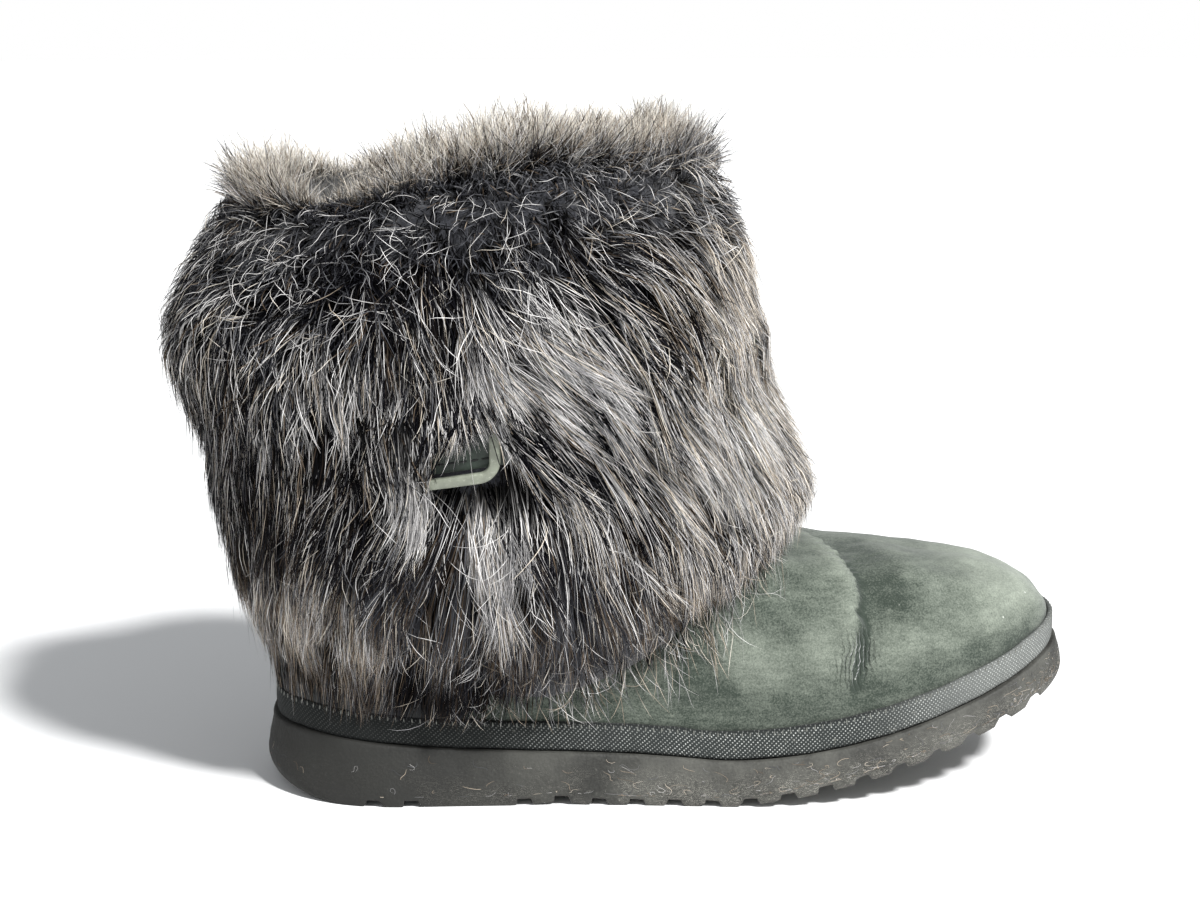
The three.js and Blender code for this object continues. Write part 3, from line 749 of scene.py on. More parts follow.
def nubuck_finish(light, dark):
    """Napped nubuck: rubbed pale in spots, painted shade in its folds, wrinkles and by the hair's
    hem; pale specks.
    """
    f = Finish("nubuck")
    cloud = f.fit(f.noise(0.024, 4, 0.6), 0.32, 0.70)
    mottle = f.fit(f.noise(0.0065, 5, 0.7, f.stretch((0.6, 0.6, 1)), warp=0.4), 0.30, 0.72)
    streak = f.noise(0.0030, 4, 0.75, f.stretch((0.35, 0.5, 1.3), (0, 0.25, 0)))
    shade = f.scaled(cloud, 0.17, f.times(mottle, 0.10))
    shade = f.scaled(f.fit(streak, 0.35, 0.70), 0.16, shade)
    shade = f.plus(shade, f.scaled(f.noise(0.0006, 2, 0.8), 1.0, -0.54))
    # the wear, which also carries painted shade near the hair's hem and over the foot's back, then
    # the folds' painted shade
    shade = f.scaled(f.value("worn"), 0.70, shade)
    # painted shade of the folds
    shade = f.minus(shade, f.times(f.value("fold"), 0.80))
    run = f.scaled(f.noise(0.007, 3), 0.0060, f.axes()[0])
    wrinkle = f.times(f.fit(f.waves(run, WRINKLE_PITCH), -0.2, 0.9), f.value("fan"))
    # painted shade in the troughs of the fine wrinkles
    shade = f.minus(shade, f.times(wrinkle, 0.34))
    middle = [lerp(a, b, 0.42) for a, b in zip(dark, light)]
    colour = f.ramp(shade, (0.02, dark), (0.42, middle), (0.95, light))
    chosen = f.fit(f.axes(f.cells(SPECK_SIZE, output="Color"))[0], 0.90, 0.93)
    speck = f.times(f.fit(f.cells(SPECK_SIZE), 0.085, 0.05), chosen)
    colour = f.blend(f.times(speck, 0.65), colour, rgb(SPECK))
    rubbed = f.fit(f.noise(0.004, 3, 0.5), 0.3, 0.7, 0.86, 0.97)
    normal = f.bump(f.noise(0.0006, 3, 0.7), 0.00018, 0.55)
    normal = f.bump(f.noise(0.0042, 4, 0.6), 0.0008, 0.35, normal)
    normal = f.bump(wrinkle, -0.0007, 1.0, normal)
    plain = dict(Sheen_Weight=0.35, Sheen_Roughness=0.45, Specular_IOR_Level=0.2)
    return f.done(colour, rubbed, normal, **plain)


def foam_finish(colour):
    """Porous foam: shaded at the heel, with fibres, scuffs and dust low on its side."""
    f = Finish("sole_foam")
    rise, x = f.value("rise"), f.axes()[0]
    cloud = f.fit(f.noise(0.022, 4, 0.6), 0.3, 0.7)
    shade = f.scaled(cloud, 0.5, f.times(f.noise(0.0008, 3, 0.7), 0.5))
    base = f.ramp(shade, (0.2, rgb(colour, 0.40)), (0.8, rgb(colour, 1.75)))
    long_ways = f.stretch((1, 1, 3.5))
    wavy = f.noise(0.0045, 4, 0.7, long_ways, 2.2)
    patch = f.fit(f.noise(0.016, 3, 0.6), 0.38, 0.58)
    fibre = f.fit(f.apart(wavy, 0.5), 0.012, 0.003)
    fibre = f.times(fibre, f.times(patch, f.fit(rise, 0.95, 0.25)))
    fuzz = f.fit(f.noise(0.0009, 4, 0.8, long_ways, 1.5), 0.52, 0.70)
    near = f.times(f.fit(rise, 0.26, 0.06, 0, 0.8), f.fit(x, -0.08, 0.06, 0.2, 1.0))
    dust = f.fit(f.noise(0.0016, 4, 0.75), 0.60, 0.74)
    dust = f.times(dust, f.fit(rise, 0.95, 0.15, 0.08, 0.3))
    pale = f.math("MINIMUM", f.plus(fibre, f.plus(f.times(fuzz, near), dust)), 1.0)
    base = f.blend(f.times(pale, 0.85), base, rgb(FLUFF))
    # painted shade: darker towards the heel
    base = f.blend(f.times(f.fit(x, 0.03, -0.10), 0.93), base, rgb(colour, 0.25))
    normal = f.bump(f.cells(PORE_SIZE), 0.00022, 0.5)
    normal = f.bump(f.noise(0.0055, 4, 0.65), 0.0010, 0.45, normal)
    normal = f.bump(fibre, 0.0002, 0.6, normal)
    return f.done(base, f.fit(cloud, 0, 1, 0.66, 0.84), normal, Specular_IOR_Level=0.35)


def tape_finish(dark, light):
    """Woven tape: pale twill floats on a dark ground, paler towards the toe, with painted shade
    towards the heel.
    """
    f = Finish("woven_tape")
    run, rise = f.flat_map("Flat")
    x = f.axes()[0]
    twill = f.waves(f.scaled(rise, -1.0, run), TWILL_PITCH)
    weft = f.waves(f.plus(run, rise), WEFT_PITCH)
    floats = f.times(f.fit(twill, -0.2, 0.9), f.fit(weft, -0.4, 0.8))
    wear = f.fit(f.noise(0.010, 4, 0.6), 0.3, 0.75, 0.45, 1.15)
    fleck = f.times(f.times(floats, wear), f.fit(f.noise(0.0012, 2), 0.3, 0.6, 0.35, 1.0))
    edge = f.fit(f.apart(rise, TAPE_HEIGHT * MM / 2), 0.0034, 0.0047)
    colour = f.blend(fleck, rgb(dark), rgb(light))
    colour = f.blend(f.times(edge, 0.7), colour, rgb(dark, 0.4))
    dust = f.times(f.fit(f.noise(0.0018, 4, 0.75), 0.58, 0.76), 0.5)
    colour = f.blend(dust, colour, rgb(DUST))
    # paler towards the toe
    front = f.times(f.fit(x, 0.07, 0.125), f.fit(fleck, 0.0, 1.0, 0.25, 0.75))
    colour = f.blend(front, colour, rgb(light, 0.80))
    # painted shade darkens the tape towards the heel; it is also darker at the very toe tip
    ends = f.math("MAXIMUM", f.fit(x, 0.03, -0.09, 0, 0.92), f.fit(x, 0.140, 0.149, 0, 0.5))
    colour = f.blend(ends, colour, rgb(dark, 0.3))
    normal = f.bump(floats, 0.00045, 0.8, f.bump(f.noise(0.0004, 2), 0.0001, 0.5))
    return f.done(colour, 0.88, normal, Sheen_Weight=0.04, Specular_IOR_Level=0.15)


def leather_finish(name, light, dark, roughness):
    f = Finish(name)
    cloud = f.fit(f.noise(0.012, 4, 0.6), 0.3, 0.7)
    pebble = f.cells(PORE_SIZE, f.stretch((1, 1, 1.2)), feature="SMOOTH_F1")
    shade = f.scaled(pebble, 0.25, f.times(cloud, 0.75))
    colour = f.ramp(shade, (0.1, dark), (0.9, light))
    rough = f.fit(f.noise(0.006, 3), 0.3, 0.7, roughness - 0.08, roughness + 0.1)
    normal = f.bump(pebble, 0.00022, 0.45, f.bump(f.noise(0.003, 3), 0.0004, 0.3))
    return f.done(colour, rough, normal, Specular_IOR_Level=0.4)


def coated_finish(colour):
    """A painted coat on metal, rubbed paler in places."""
    f = Finish("buckle_coat")
    cloud = f.fit(f.noise(0.005, 4, 0.6), 0.3, 0.7)
    rub = f.fit(f.noise(0.0012, 4, 0.75), 0.52, 0.72)
    base = f.blend(cloud, rgb(colour, 0.78), rgb(colour, 1.12))
    base = f.blend(f.times(rub, 0.35), base, rgb((0.46, 0.48, 0.40)))
    normal = f.bump(f.noise(0.0007, 3, 0.7), 0.0001, 0.5)
    plain = dict(Metallic=0.0, Coat_Weight=0.15, Coat_Roughness=0.4)
    return f.done(base, f.fit(cloud, 0, 1, 0.42, 0.6), normal, **plain)


def thread_finish(colour):
    f = Finish("thread")
    twist = f.noise(0.0004, 2, 0.5, f.stretch((1, 1, 2.5)))
    base = f.blend(f.fit(twist, 0.3, 0.7), rgb(colour, 0.6), rgb(colour, 1.4))
    return f.done(base, 0.7, f.bump(twist, 0.0001, 0.6))


def pile_finish(name, dark, light):
    f = Finish(name)
    tuft = f.noise(0.0022, 4, 0.7, warp=0.8)
    cloud = f.fit(f.noise(0.014, 3), 0.3, 0.7)
    shade = f.scaled(f.fit(tuft, 0.3, 0.7), 0.7, f.times(cloud, 0.3))
    colour = f.ramp(shade, (0.1, dark), (0.9, light))
    plain = dict(Sheen_Weight=0.3, Sheen_Roughness=0.6, Specular_IOR_Level=0.15)
    return f.done(colour, 0.95, f.bump(tuft, 0.0012, 0.8), **plain)


# How light a hair is along its length, against its tip's colour
HAIR_REACH = ((0, 0.02), (0.3, 0.05), (0.55, 0.6), (0.75, 1), (1, 0.95))


def hair_finish(name, shades):
    """Hair is dark at its root and takes its tip's colour from its strand's place in `shades`."""
    f = Finish(name)
    strand, along = f.flat_map("OFBake")
    reach = f.ramp(along, *((at, (light,) * 3) for at, light in HAIR_REACH))
    colour = f.blend(1.0, f.ramp(strand, *shades), reach, "MULTIPLY")
    return f.done(colour, 0.5, Specular_IOR_Level=0.03)


def ground_finish(colour):
    f = Finish("floor")
    cloud = f.fit(f.noise(0.4, 3), 0.3, 0.7)
    return f.done(f.blend(cloud, rgb(colour, 0.985), rgb(colour)), 0.9, Specular_IOR_Level=0.1)


# What a user would change


def tint(label, text, colour):
    looks = dict(default=colour, subtype="COLOR", size=3, min=0, max=1)
    return FloatVectorProperty(name=label, description=text, **looks)


def length_of(label, text, millimetres):
    looks = dict(default=millimetres * MM, unit="LENGTH", min=0)
    return FloatProperty(name=label, description=text, **looks)


def number_of(label, text, number, least=0):
    return IntProperty(name=label, description=text, default=number, min=least)


def amount_of(label, text, amount, unit="NONE"):
    return FloatProperty(name=label, description=text, default=amount, unit=unit, min=0)


class BootFoot(bpy.types.PropertyGroup):
    foam: tint("Foam", "Colour of the sole's foam", (0.052, 0.052, 0.046))
    tape_dark: tint("Tape", "Ground colour of the binding tape", (0.028, 0.032, 0.031))
    tape_light: tint("Tape floats", "Colour of the tape's raised threads", (0.58, 0.60, 0.57))
    nubuck_light: tint("Nubuck, brushed", "Nubuck with its nap raised", (0.262, 0.290, 0.240))
    # The dark end of the nubuck's colours, which the painted shade in its folds and wrinkles and
    # near the hair's hem reaches towards
    nubuck_dark: tint("Nubuck, smoothed", "Nubuck in its folds", (0.030, 0.040, 0.031))
    # near black: the counter's dark leather, with the shade under the hair painted in
    counter: tint("Heel counter", "Leather at the back of the heel", (0.005, 0.007, 0.006))
    lining: tint("Lining", "Pile inside the boot", (0.035, 0.034, 0.032))
    stitch: length_of("Tape stitch", "Distance between the stitches on the tape", 2.6)


class BootFur(bpy.types.PropertyGroup):
    locks: number_of("Locks", "Large locks of hair", 620, 10)
    tufts: number_of("Tufts", "Small tufts that the locks are made of", 7500, 10)
    strands: number_of("Strands", "Combed guard hairs", 122000, 10)
    wild: number_of("Wild hairs", "Long curly hairs on their own", 7900)
    rim: number_of("Rim hairs", "Upright hairs round the collar", 17000)
    wool: number_of("Underwool", "Short dense hairs over the skin", 12000)
    wisps: number_of("Wisps", "Fine loose hairs at the hem", 700)
    strays: number_of("Shed hairs", "Hairs caught on the sole's side", 1100)
    width: length_of("Hair width", "Width of one guard hair", 0.27)


class BootStrap(bpy.types.PropertyGroup):
    leather: tint("Leather", "Colour of the strap", (0.035, 0.050, 0.038))
    coat: tint("Buckle", "Colour of the buckle's coating", (0.185, 0.20, 0.155))
    thread: tint("Thread", "Colour of the stitching", (0.008, 0.010, 0.009))
    stitch: length_of("Stitch", "Length of a stitch on the strap", 3.4)


class BootStage(bpy.types.PropertyGroup):
    floor: tint("Floor", "Colour of the floor", (0.86, 0.86, 0.86))
    key: amount_of("Key", "Strength of the main light", 6.0)
    soft: amount_of("Softness", "Width of the main light in degrees", 9.0)
    fill: amount_of("Fill", "Power of the fill light", 2.0, "POWER")
    sky: amount_of("Surround", "Strength of the light from all round", 0.45)
    lens: amount_of("Lens", "The camera's focal length in millimetres", 64.4)


# Foot


def groove_cut(x):
    """How far the tread's grooves are cut up into the sole at x."""
    first = TREAD_FIRST - TREAD_WIDTH / 2
    at = (x - first) % TREAD_PITCH
    middle = x - at + TREAD_WIDTH / 2
    plain = (middle > TREAD_PLAIN[0]) & (middle < TREAD_PLAIN[1])
    outside = (x < first) | (middle >= TREAD_LAST)
    cut = np.clip(1 - (at - TREAD_WIDTH) / TREAD_RAMP, 0, 1) * np.clip(at / TREAD_STEP, 0, 1)
    return np.where(plain | outside, 0, TREAD_DEPTH * cut)


def sole_stations():
    """Places along the sole, with one at each edge of each groove."""
    edges = []
    for x in np.arange(TREAD_FIRST, TREAD_LAST, TREAD_PITCH):
        back, front = x - TREAD_WIDTH / 2, x + TREAD_WIDTH / 2
        edges += [back, back + TREAD_STEP, front, front + TREAD_RAMP]
    at_edges = np.arccos(1 - 2 * np.array(edges) / LENGTH) / np.pi
    even = np.linspace(0.008, 0.992, SOLE_STEPS)
    clear = np.abs(even[:, None] - at_edges[None]).min(1) > 0.0018
    return np.sort(np.concatenate([even[clear], at_edges]))


class BOOT_OT_sole(bpy.types.Operator):
    """One-piece foam sole with cross grooves and toe spring"""

    bl_idname = "boot.sole"
    bl_label = "Sole"

    def execute(self, context):
        looks = context.scene.boot_foot
        ring = foot_ring(sole_stations())
        rows, rises = [], []
        for inset, share in SOLE_FOOT:
            flat = outline(ring, inset)
            bottom, cut = sole_bottom(flat[:, 0]), groove_cut(flat[:, 0])
            rows.append(raised(flat, bottom + lerp(cut, FOOT_RISE, share)))
            rises.append(np.full(len(ring), share * FOOT_SHARE))
        for inset, share in SOLE_WALL:
            flat = outline(ring, inset)
            low = sole_bottom(flat[:, 0]) + FOOT_RISE
            rows.append(raised(flat, lerp(low, sole_top(flat[:, 0]), share)))
            rises.append(np.full(len(ring), FOOT_SHARE + share * (1 - FOOT_SHARE)))
        points, rise = np.concatenate(rows), np.concatenate(rises)
        out = unit(np.concatenate([outline(ring, 0) - outline(ring, 1)] * len(rows)))
        dents = 0.25 + (0.22 * wander(points, 26, 3) + 0.10 * wander(points, 9, 4))
        points[:, :2] -= out * (dents * smooth(rise, 0.0, 0.3) * smooth(rise, 1.0, 0.8))[:, None]
        here, across = np.arange(len(ring) // 2 - 1), len(ring)
        under = np.stack([here + 1, here, across - 1 - here, across - 2 - here], -1)
        top = under[:, ::-1] + (len(rows) - 1) * across
        faces, finish = [grid(len(rows), across), under, top], foam_finish(looks.foam)
        new_piece("sole_body", points, faces, [finish], "sole_foam", ["sole"], rise=rise)
        return {"FINISHED"}


def run_of(points):
    """The distance round a closed ring at each of its points, and its whole length."""
    steps = np.linalg.norm(np.roll(points, -1, 0) - points, axis=1)
    return np.concatenate([[0], np.cumsum(steps)])


class BOOT_OT_tape(bpy.types.Operator):
    """Woven binding tape over the joint of sole and upper, with its row of stitches"""

    bl_idname = "boot.tape"
    bl_label = "Binding tape"

    def execute(self, context):
        looks = context.scene.boot_foot
        ring = np.delete(foot_ring(np.linspace(0, 1, TAPE_STEPS))[:-1], TAPE_STEPS - 1)
        rows = []
        for inset, height in TAPE_SECTION:
            flat = outline(ring, inset)
            rows.append(raised(flat, sole_top(flat[:, 0]) + SEAT_GAP + height))
        points = np.concatenate(rows)
        points[:, 2] += (0.16 * wander(points, 14, 5) + 0.08 * wander(points, 5, 6)) * 0.8
        *run, whole = run_of(rows[TAPE_FACE])
        run = np.where(ring > 1, np.array(run) - whole, run)
        flat = np.concatenate([stack(run, height) for _, height in TAPE_SECTION]) * MM
        faces = [grid(len(rows), len(ring), closed=True)]
        finish, node = tape_finish(looks.tape_dark, looks.tape_light), ["binding_tape"]
        new_piece("tape_band", points, faces, [finish], "woven_tape", node, Flat=flat)
        self.stitches(looks.stitch / MM)
        return {"FINISHED"}

    def stitches(self, pitch):
        """Upright stitches along the tape's top edge."""
        fine = foot_ring(np.linspace(0, 1, STITCH_STEPS))
        *run, whole = run_of(outline(fine, TAPE_OUTSIDE + STITCH_INSET))
        count = int(whole / pitch)
        at = np.interp(np.arange(count) * whole / count, run, fine)
        flat = outline(at, TAPE_OUTSIDE + STITCH_INSET)
        spots = raised(flat, sole_top(flat[:, 0]) + SEAT_GAP + TAPE_HEIGHT - STITCH_DROP)
        out = np.pad(unit(outline(at, 0) - outline(at, 1)), ((0, 0), (0, 1)))
        lean = np.random.default_rng(11).normal(0, 0.10, count)[:, None]
        up = unit(UPWARD + lean * np.cross(UPWARD, out))
        turns = np.stack([up, np.cross(out, up), out], -1)
        points, faces = many(*bead(), spots, turns, np.tile(TAPE_STITCH, (count, 1)))
        new_piece("tape_stitches", points, faces, [thread_finish(TAPE_THREAD)], "woven_tape")


def fold_shift(points):
    """How far the vamp's folds move points along their normals, and how much painted shade darkens
    each fold.
    """
    read = {name: curve(points[..., 2]) for name, curve in columns(FLEX_FOLD).items()}
    x, y, z = points[..., 0], points[..., 1], points[..., 2]
    off = x - read["x"] + 0.25 * (y - read["y"])
    off = off + 0.7 * wander(points, 7, 23) + 0.35 * wander(points, 3, 24)
    wide, side = read["wide"], smooth(-y, -26, 4)
    # a sharp lip on the ankle's side, a shallow valley on the toe's side, then a soft ridge
    valley = np.exp(-np.where(off > 0, np.abs(off / (wide * 1.9)) ** 1.4, (off / 1.3) ** 2))
    lip, ridge = hill(off + 4.5, 4.0) * 0.34, hill(off - wide * 4.2, 8.0) * 0.30
    press = read["deep"] * side * smooth(z, 87, 76)
    shift = press * (lip + ridge - valley)
    # painted shade: a soft valley shadow on the toe's side of the fold, and a dark core along its
    # line that is deepest low down
    dark = 0.20 * hill(off - 5.0, 6.0) + 0.32 * hill(off - 18.0, 9.0)
    dark = press / 4.0 * (dark + 0.8 * hill(off, 1.5))
    dark = dark + 0.9 * hill(z - 46.0, 8.0) * hill(off, 1.5) * side
    # fine wrinkles that fan out below the fold
    fan = hill(z - 48.0, 7.0) * hill(off + 1, 5.5) * side
    spread = off * (1 + (z - 47.0) * 0.035)
    ripple = np.cos(spread * 2 * math.pi / RIPPLE_PITCH + 0.6 * np.sin(z * 0.7))
    shift = shift + 0.55 * fan * ripple
    # a second, shallower crease crossing the instep nearer the fur
    high = hill(x - 172 - 0.20 * (z - 70), 5.0) * smooth(z, 48, 66)
    return shift - 0.8 * high, dark, fan


def surface_normals(points):
    """Outward normals of a grid of points whose rows are closed rings, from the lowest up."""
    round_way = np.roll(points, -1, 1) - np.roll(points, 1, 1)
    return unit(np.cross(round_way, np.gradient(points, axis=0)))


def upper_shape():
    """The nubuck's outside: plain and creased points, its wear and painted shade, its folds'
    painted shade and its wrinkles.
    """
    spans = ((0, 0.56, 40), (0.56, 0.93, 100), (0.93, 1, 14))
    along = np.append(np.concatenate([np.linspace(*span)[:-1] for span in spans]), 1.0)
    ring = np.concatenate([along, 2 - along[-2:0:-1]])
    v = np.concatenate([[-1.0, -0.4], np.linspace(0, 1, 58)])[:, None]
    plain = upper_point(ring[None], v)
    shift, dark, fan = fold_shift(plain)
    above = smooth(v, 0.0, 0.10)
    lumps = 0.45 * wander(plain, 34, 21) + 0.20 * wander(plain, 13, 22)
    points = plain + surface_normals(plain) * ((shift + lumps) * above)[..., None]
    x, y, z = points[..., 0], points[..., 1], points[..., 2]
    # paler over the toe's top and on the fold's raised lip and ridge
    worn = 0.18 + 0.62 * smooth(x, 218, 250) * smooth(z, 44, 64) + 0.30 * np.maximum(shift, 0)
    # pale rubbed spots, and one spot of painted shade just below the hair's hem
    for spot_x, spot_z, size, amount in WEAR_AND_SHADE_SPOTS:
        near = np.exp(-((x - spot_x) ** 2 + (z - spot_z) ** 2) / size**2) * smooth(y, 5, -15)
        worn = worn + amount * near
    # darker just above the tape; painted shade under the hair darkens the foot's back and the
    # nubuck below the hair's hem
    worn = worn - 0.30 * smooth(v, 0.16, 0.02) - 0.16 * smooth(x, 165, 130)
    worn = worn - 0.32 * smooth(x + 0.9 * (z - 60), 160, 116)
    return plain, points, np.clip(worn, 0, 1), np.clip(dark, 0, 1) * above, fan


def tree_of(points):
    """A search tree over a grid of ring rows, in the boot's own millimetres."""
    faces = grid(points.shape[0], points.shape[1])
    return BVHTree.FromPolygons(points.reshape(-1, 3).tolist(), faces.tolist())


UPPER = upper_shape()
UPPER_TREE = tree_of(UPPER[1])


class BOOT_OT_upper(bpy.types.Operator):
    """Lined nubuck foot with its flex fold, and the counter over the heel"""

    bl_idname = "boot.upper"
    bl_label = "Upper"

    def execute(self, context):
        looks = context.scene.boot_foot
        plain, points, *layers = UPPER
        rows, across = points.shape[:2]
        pick = np.arange(0, across - across % LINING_STEP, LINING_STEP)
        inner = plain - surface_normals(plain) * UPPER_WALL * 0.96
        inner[0, :, 2] = plain[0, :, 2]
        inner = inner[np.linspace(0, rows - 1, LINING_ROWS).astype(int)][:, pick][::-1]
        start, count = rows * across, len(pick)
        # each inner step is joined to the outer steps beside it, at the ankle and at the foot
        top, foot = (rows - 1) * across, start + (LINING_ROWS - 1) * count
        joins = {}
        for step in range(count):
            end = pick[step + 1] if step + 1 < count else across
            chain = [i % across for i in range(pick[step], end + 1)]
            after = (step + 1) % count
            sized = joins.setdefault(len(chain), [])
            sized.append([top + i for i in chain] + [start + after, start + step])
            sized.append(chain[::-1] + [foot + step, foot + after])
        faces = [grid(rows, across), grid(LINING_ROWS, count, start=start)]
        faces += [np.array(group) for group in joins.values()]
        finish_of = np.concatenate([np.full(len(g), min(k, 1)) for k, g in enumerate(faces)])
        every = np.concatenate([points.reshape(-1, 3), inner.reshape(-1, 3)])
        worn, fold, fan = (np.pad(layer.ravel(), (0, inner.size // 3)) for layer in layers)
        nubuck = nubuck_finish(looks.nubuck_light, looks.nubuck_dark)
        lining = pile_finish("lining_pile", rgb(looks.lining, 0.35), looks.lining)
        layers = dict(finish_of=finish_of, worn=worn, fold=fold, fan=fan)
        new_piece("upper_shell", every, faces, [nubuck, lining], "nubuck", ["upper"], **layers)
        self.counter(looks)
        return {"FINISHED"}

    def counter(self, looks):
        """The leather counter: a thin cap that follows the heel, with a turned edge."""
        reach = np.abs(np.linspace(-1, 1, COUNTER_STEPS))
        share = np.linspace(0, 1, 15)[:, None]
        ring = np.linspace(-COUNTER_REACH, COUNTER_REACH, COUNTER_STEPS) % 2
        skin = upper_point(ring[None], lerp(-0.25, 0.40 * (1 - reach[None] ** 3.0) + 0.015, share))
        normals = unit(np.cross(np.gradient(skin, axis=1), np.gradient(skin, axis=0)))
        swell = smooth(share, 1.02, 0.90) * smooth(reach[None], 1.02, 0.97)
        swell = COUNTER_THICKNESS * swell + 0.12
        points, faces = slab(skin + normals * swell[..., None], skin + normals * 0.05)
        # the counter's near-black colour paints in the shade under the hair over its dark leather
        finish = leather_finish("counter_leather", looks.counter, rgb(looks.counter, 0.3), 0.5)
        new_piece("heel_counter", points, faces, [finish], "nubuck")


class BOOT_OT_insole(bpy.types.Operator):
    """Pile footbed inside the boot"""

    bl_idname = "boot.insole"
    bl_label = "Insole"

    def execute(self, context):
        looks = context.scene.boot_foot
        edge = outline(foot_ring(np.linspace(0.01, 0.99, INSOLE_STEPS)), INSOLE_INSET)
        share = np.linspace(0, 1, 15)[:, None, None]
        flat = lerp(edge[:INSOLE_STEPS][None], edge[::-1][:INSOLE_STEPS][None], share)
        dish = 4 * share[..., 0] * (1 - share[..., 0])
        floor = sole_top(flat[..., 0]) + SEAT_GAP
        low = raised(flat, floor + 0.05)
        tufts = 0.35 * wander(low, 4, 31) + 0.3 * wander(low, 11, 32)
        inside = smooth(dish, 0.0, 0.35)
        level = floor + 1.2 + (INSOLE_THICKNESS - 1.6) * inside - 0.9 * dish
        points, faces = slab(raised(flat, level + tufts * inside), low)
        finish = pile_finish("footbed_pile", rgb(looks.lining, 0.4), rgb(looks.lining, 1.3))
        new_piece("insole_pile", points, faces, [finish], "footbed_pile", ["insole"])
        return {"FINISHED"}


# Shaft

# The room for the leg at the ankle, as shares of the ankle's size
LEG_ROOM = (0.915, 0.88, 1)
WOOL_DARK, WOOL_LIGHT = (0.004, 0.004, 0.006), (0.030, 0.032, 0.040)


def skin_depth(down, point):
    """How far the skin lies under the fur's outside."""
    return DEPTH["deep"](down) + 0.6 * wander(point, 22, 41) + 0.5 * pressed(point)


def collar_ring(angle, height):
    """The edge of the opening for the leg."""
    x, y = COLLAR_X + COLLAR_LENGTH * np.cos(angle), ANKLE_Y + COLLAR_WIDTH * np.sin(angle)
    return stack(x, y, height)


def hem_contact(angle, hem):
    """Where the nubuck lies under the hem, as ring places and heights on the upper's meridians."""
    turn = np.abs((angle + math.pi) % (2 * math.pi) - math.pi)
    at = np.interp(np.degrees(turn), MERIDIANS["turn"][::-1], MERIDIANS["along"][::-1])
    ring = np.where(np.sin(angle) <= 0, at, (2 - at) % 2)
    v = np.linspace(0, 1, 81)
    tries = upper_point(ring[:, None], v[None])
    return ring, v[np.argmin(np.linalg.norm(tries - hem[:, None], axis=-1), axis=1)]


class BOOT_OT_shaft(bpy.types.Operator):
    """Skin of the shaft under its hair: outside wool, top edge and lined inside, as one wall"""

    bl_idname = "boot.shaft"
    bl_label = "Shaft skin"

    def execute(self, context):
        looks = context.scene.boot_foot
        angle = np.arange(SHAFT_STEPS) * 2 * math.pi / SHAFT_STEPS
        lined = self.inside(angle)
        outside = self.outside(angle)
        points = np.array(lined + outside)[::-1]
        faces = [grid(len(points), len(angle), closed=True)]
        finish_of = np.repeat([0] * len(outside) + [1] * len(lined), len(angle))
        wool = pile_finish("underwool", WOOL_DARK, WOOL_LIGHT)
        lining = pile_finish("shaft_lining", rgb(looks.lining, 0.12), rgb(looks.lining, 1.8))
        finishes, points = [wool, lining], points.reshape(-1, 3)
        new_piece("shaft_skin", points, faces, finishes, "fur", ["shaft"], finish_of=finish_of)
        return {"FINISHED"}

    def inside(self, angle):
        """The lining's rows, from inside the ankle up to the collar and over to the crown."""
        crown = fur_point(angle, 0 * angle)
        collar = collar_ring(angle, crown[:, 2] - 7)
        middle = np.array([ANKLE_X, ANKLE_Y, 0])
        across = (collar[:, 1] - ANKLE_Y) / ANKLE_WIDTH
        turns = np.arctan2(across, (collar[:, 0] - ANKLE_X) / ANKLE_LENGTH)
        ankle = ankle_point(np.abs(turns), np.sign(turns))
        ankle = (ankle - middle) * LEG_ROOM + middle
        rows = []
        for share in np.linspace(0, 1, 22):
            row = lerp(ankle, collar, share)
            bulge = 1.2 * wander(row, 16, 44) * math.sin(math.pi * share)
            row[:, :2] -= unit(row[:, :2] - middle[:2]) * (1.0 + bulge)[:, None]
            rows.append(row)
        for share in (0.2, 0.5, 0.8):
            row = lerp(collar, crown - [0, 0, 5], share)
            row[:, 2] += 4.5 * math.sin(math.pi * (0.15 + 0.7 * share)) + 0.4 * wander(row, 9, 45)
            rows.append(row)
        return rows

    def outside(self, angle):
        """The skin's rows, from the crown down to the hem and in under it over the nubuck."""
        rows = []
        for down in [*np.linspace(0.01, 0.95, 56), 1.0]:
            point, _, _, out = fur_frame(angle, np.full_like(angle, down))
            deep = skin_depth(down, point) + 0.35 * wander(point, 5, 42)
            rows.append(point - out * deep[:, None])
        ring, v = hem_contact(angle, rows[-1])
        for share in np.linspace(0.0, 1, 7):
            skin = upper_point(ring, lerp(v, 1, share))
            rows.append(skin + unit(skin - [ANKLE_X + 30, 0, 60]) * 0.6)
        rows[-1][:, 2] += 0.4
        return rows


# Fur

# A strand's colour by its tone, first cool and then warm; shade_of() gives its place
SHADES = (
    (0.00, (0.002, 0.002, 0.003)),
    (0.12, (0.009, 0.009, 0.012)),
    (0.24, (0.090, 0.092, 0.100)),
    (0.34, (0.33, 0.322, 0.32)),
    (0.42, (0.62, 0.60, 0.585)),
    (0.49, (0.90, 0.88, 0.86)),
    (0.51, (0.003, 0.0025, 0.002)),
    (0.63, (0.018, 0.013, 0.010)),
    (0.75, (0.14, 0.105, 0.075)),
    (0.87, (0.46, 0.39, 0.31)),
    (1.00, (0.90, 0.84, 0.74)),
)
# A strand's width along its length, and how wide it is on its chart
TAPER = ((0, 0.4, 0.8, 1), (0.9, 1.0, 0.7, 0.0))
CHART_WIDTH = 0.008
LARGEST_AREA = 16500
# Heights in mm: up to which hair may meet the nubuck, and down to which loose hair may hang
NUBUCK_TOP, TAPE_TOP = 112, 27
# Where the combed hair is split into its front and back, high and low pieces
MIDWAY_X, MIDWAY_Z = 88, 116
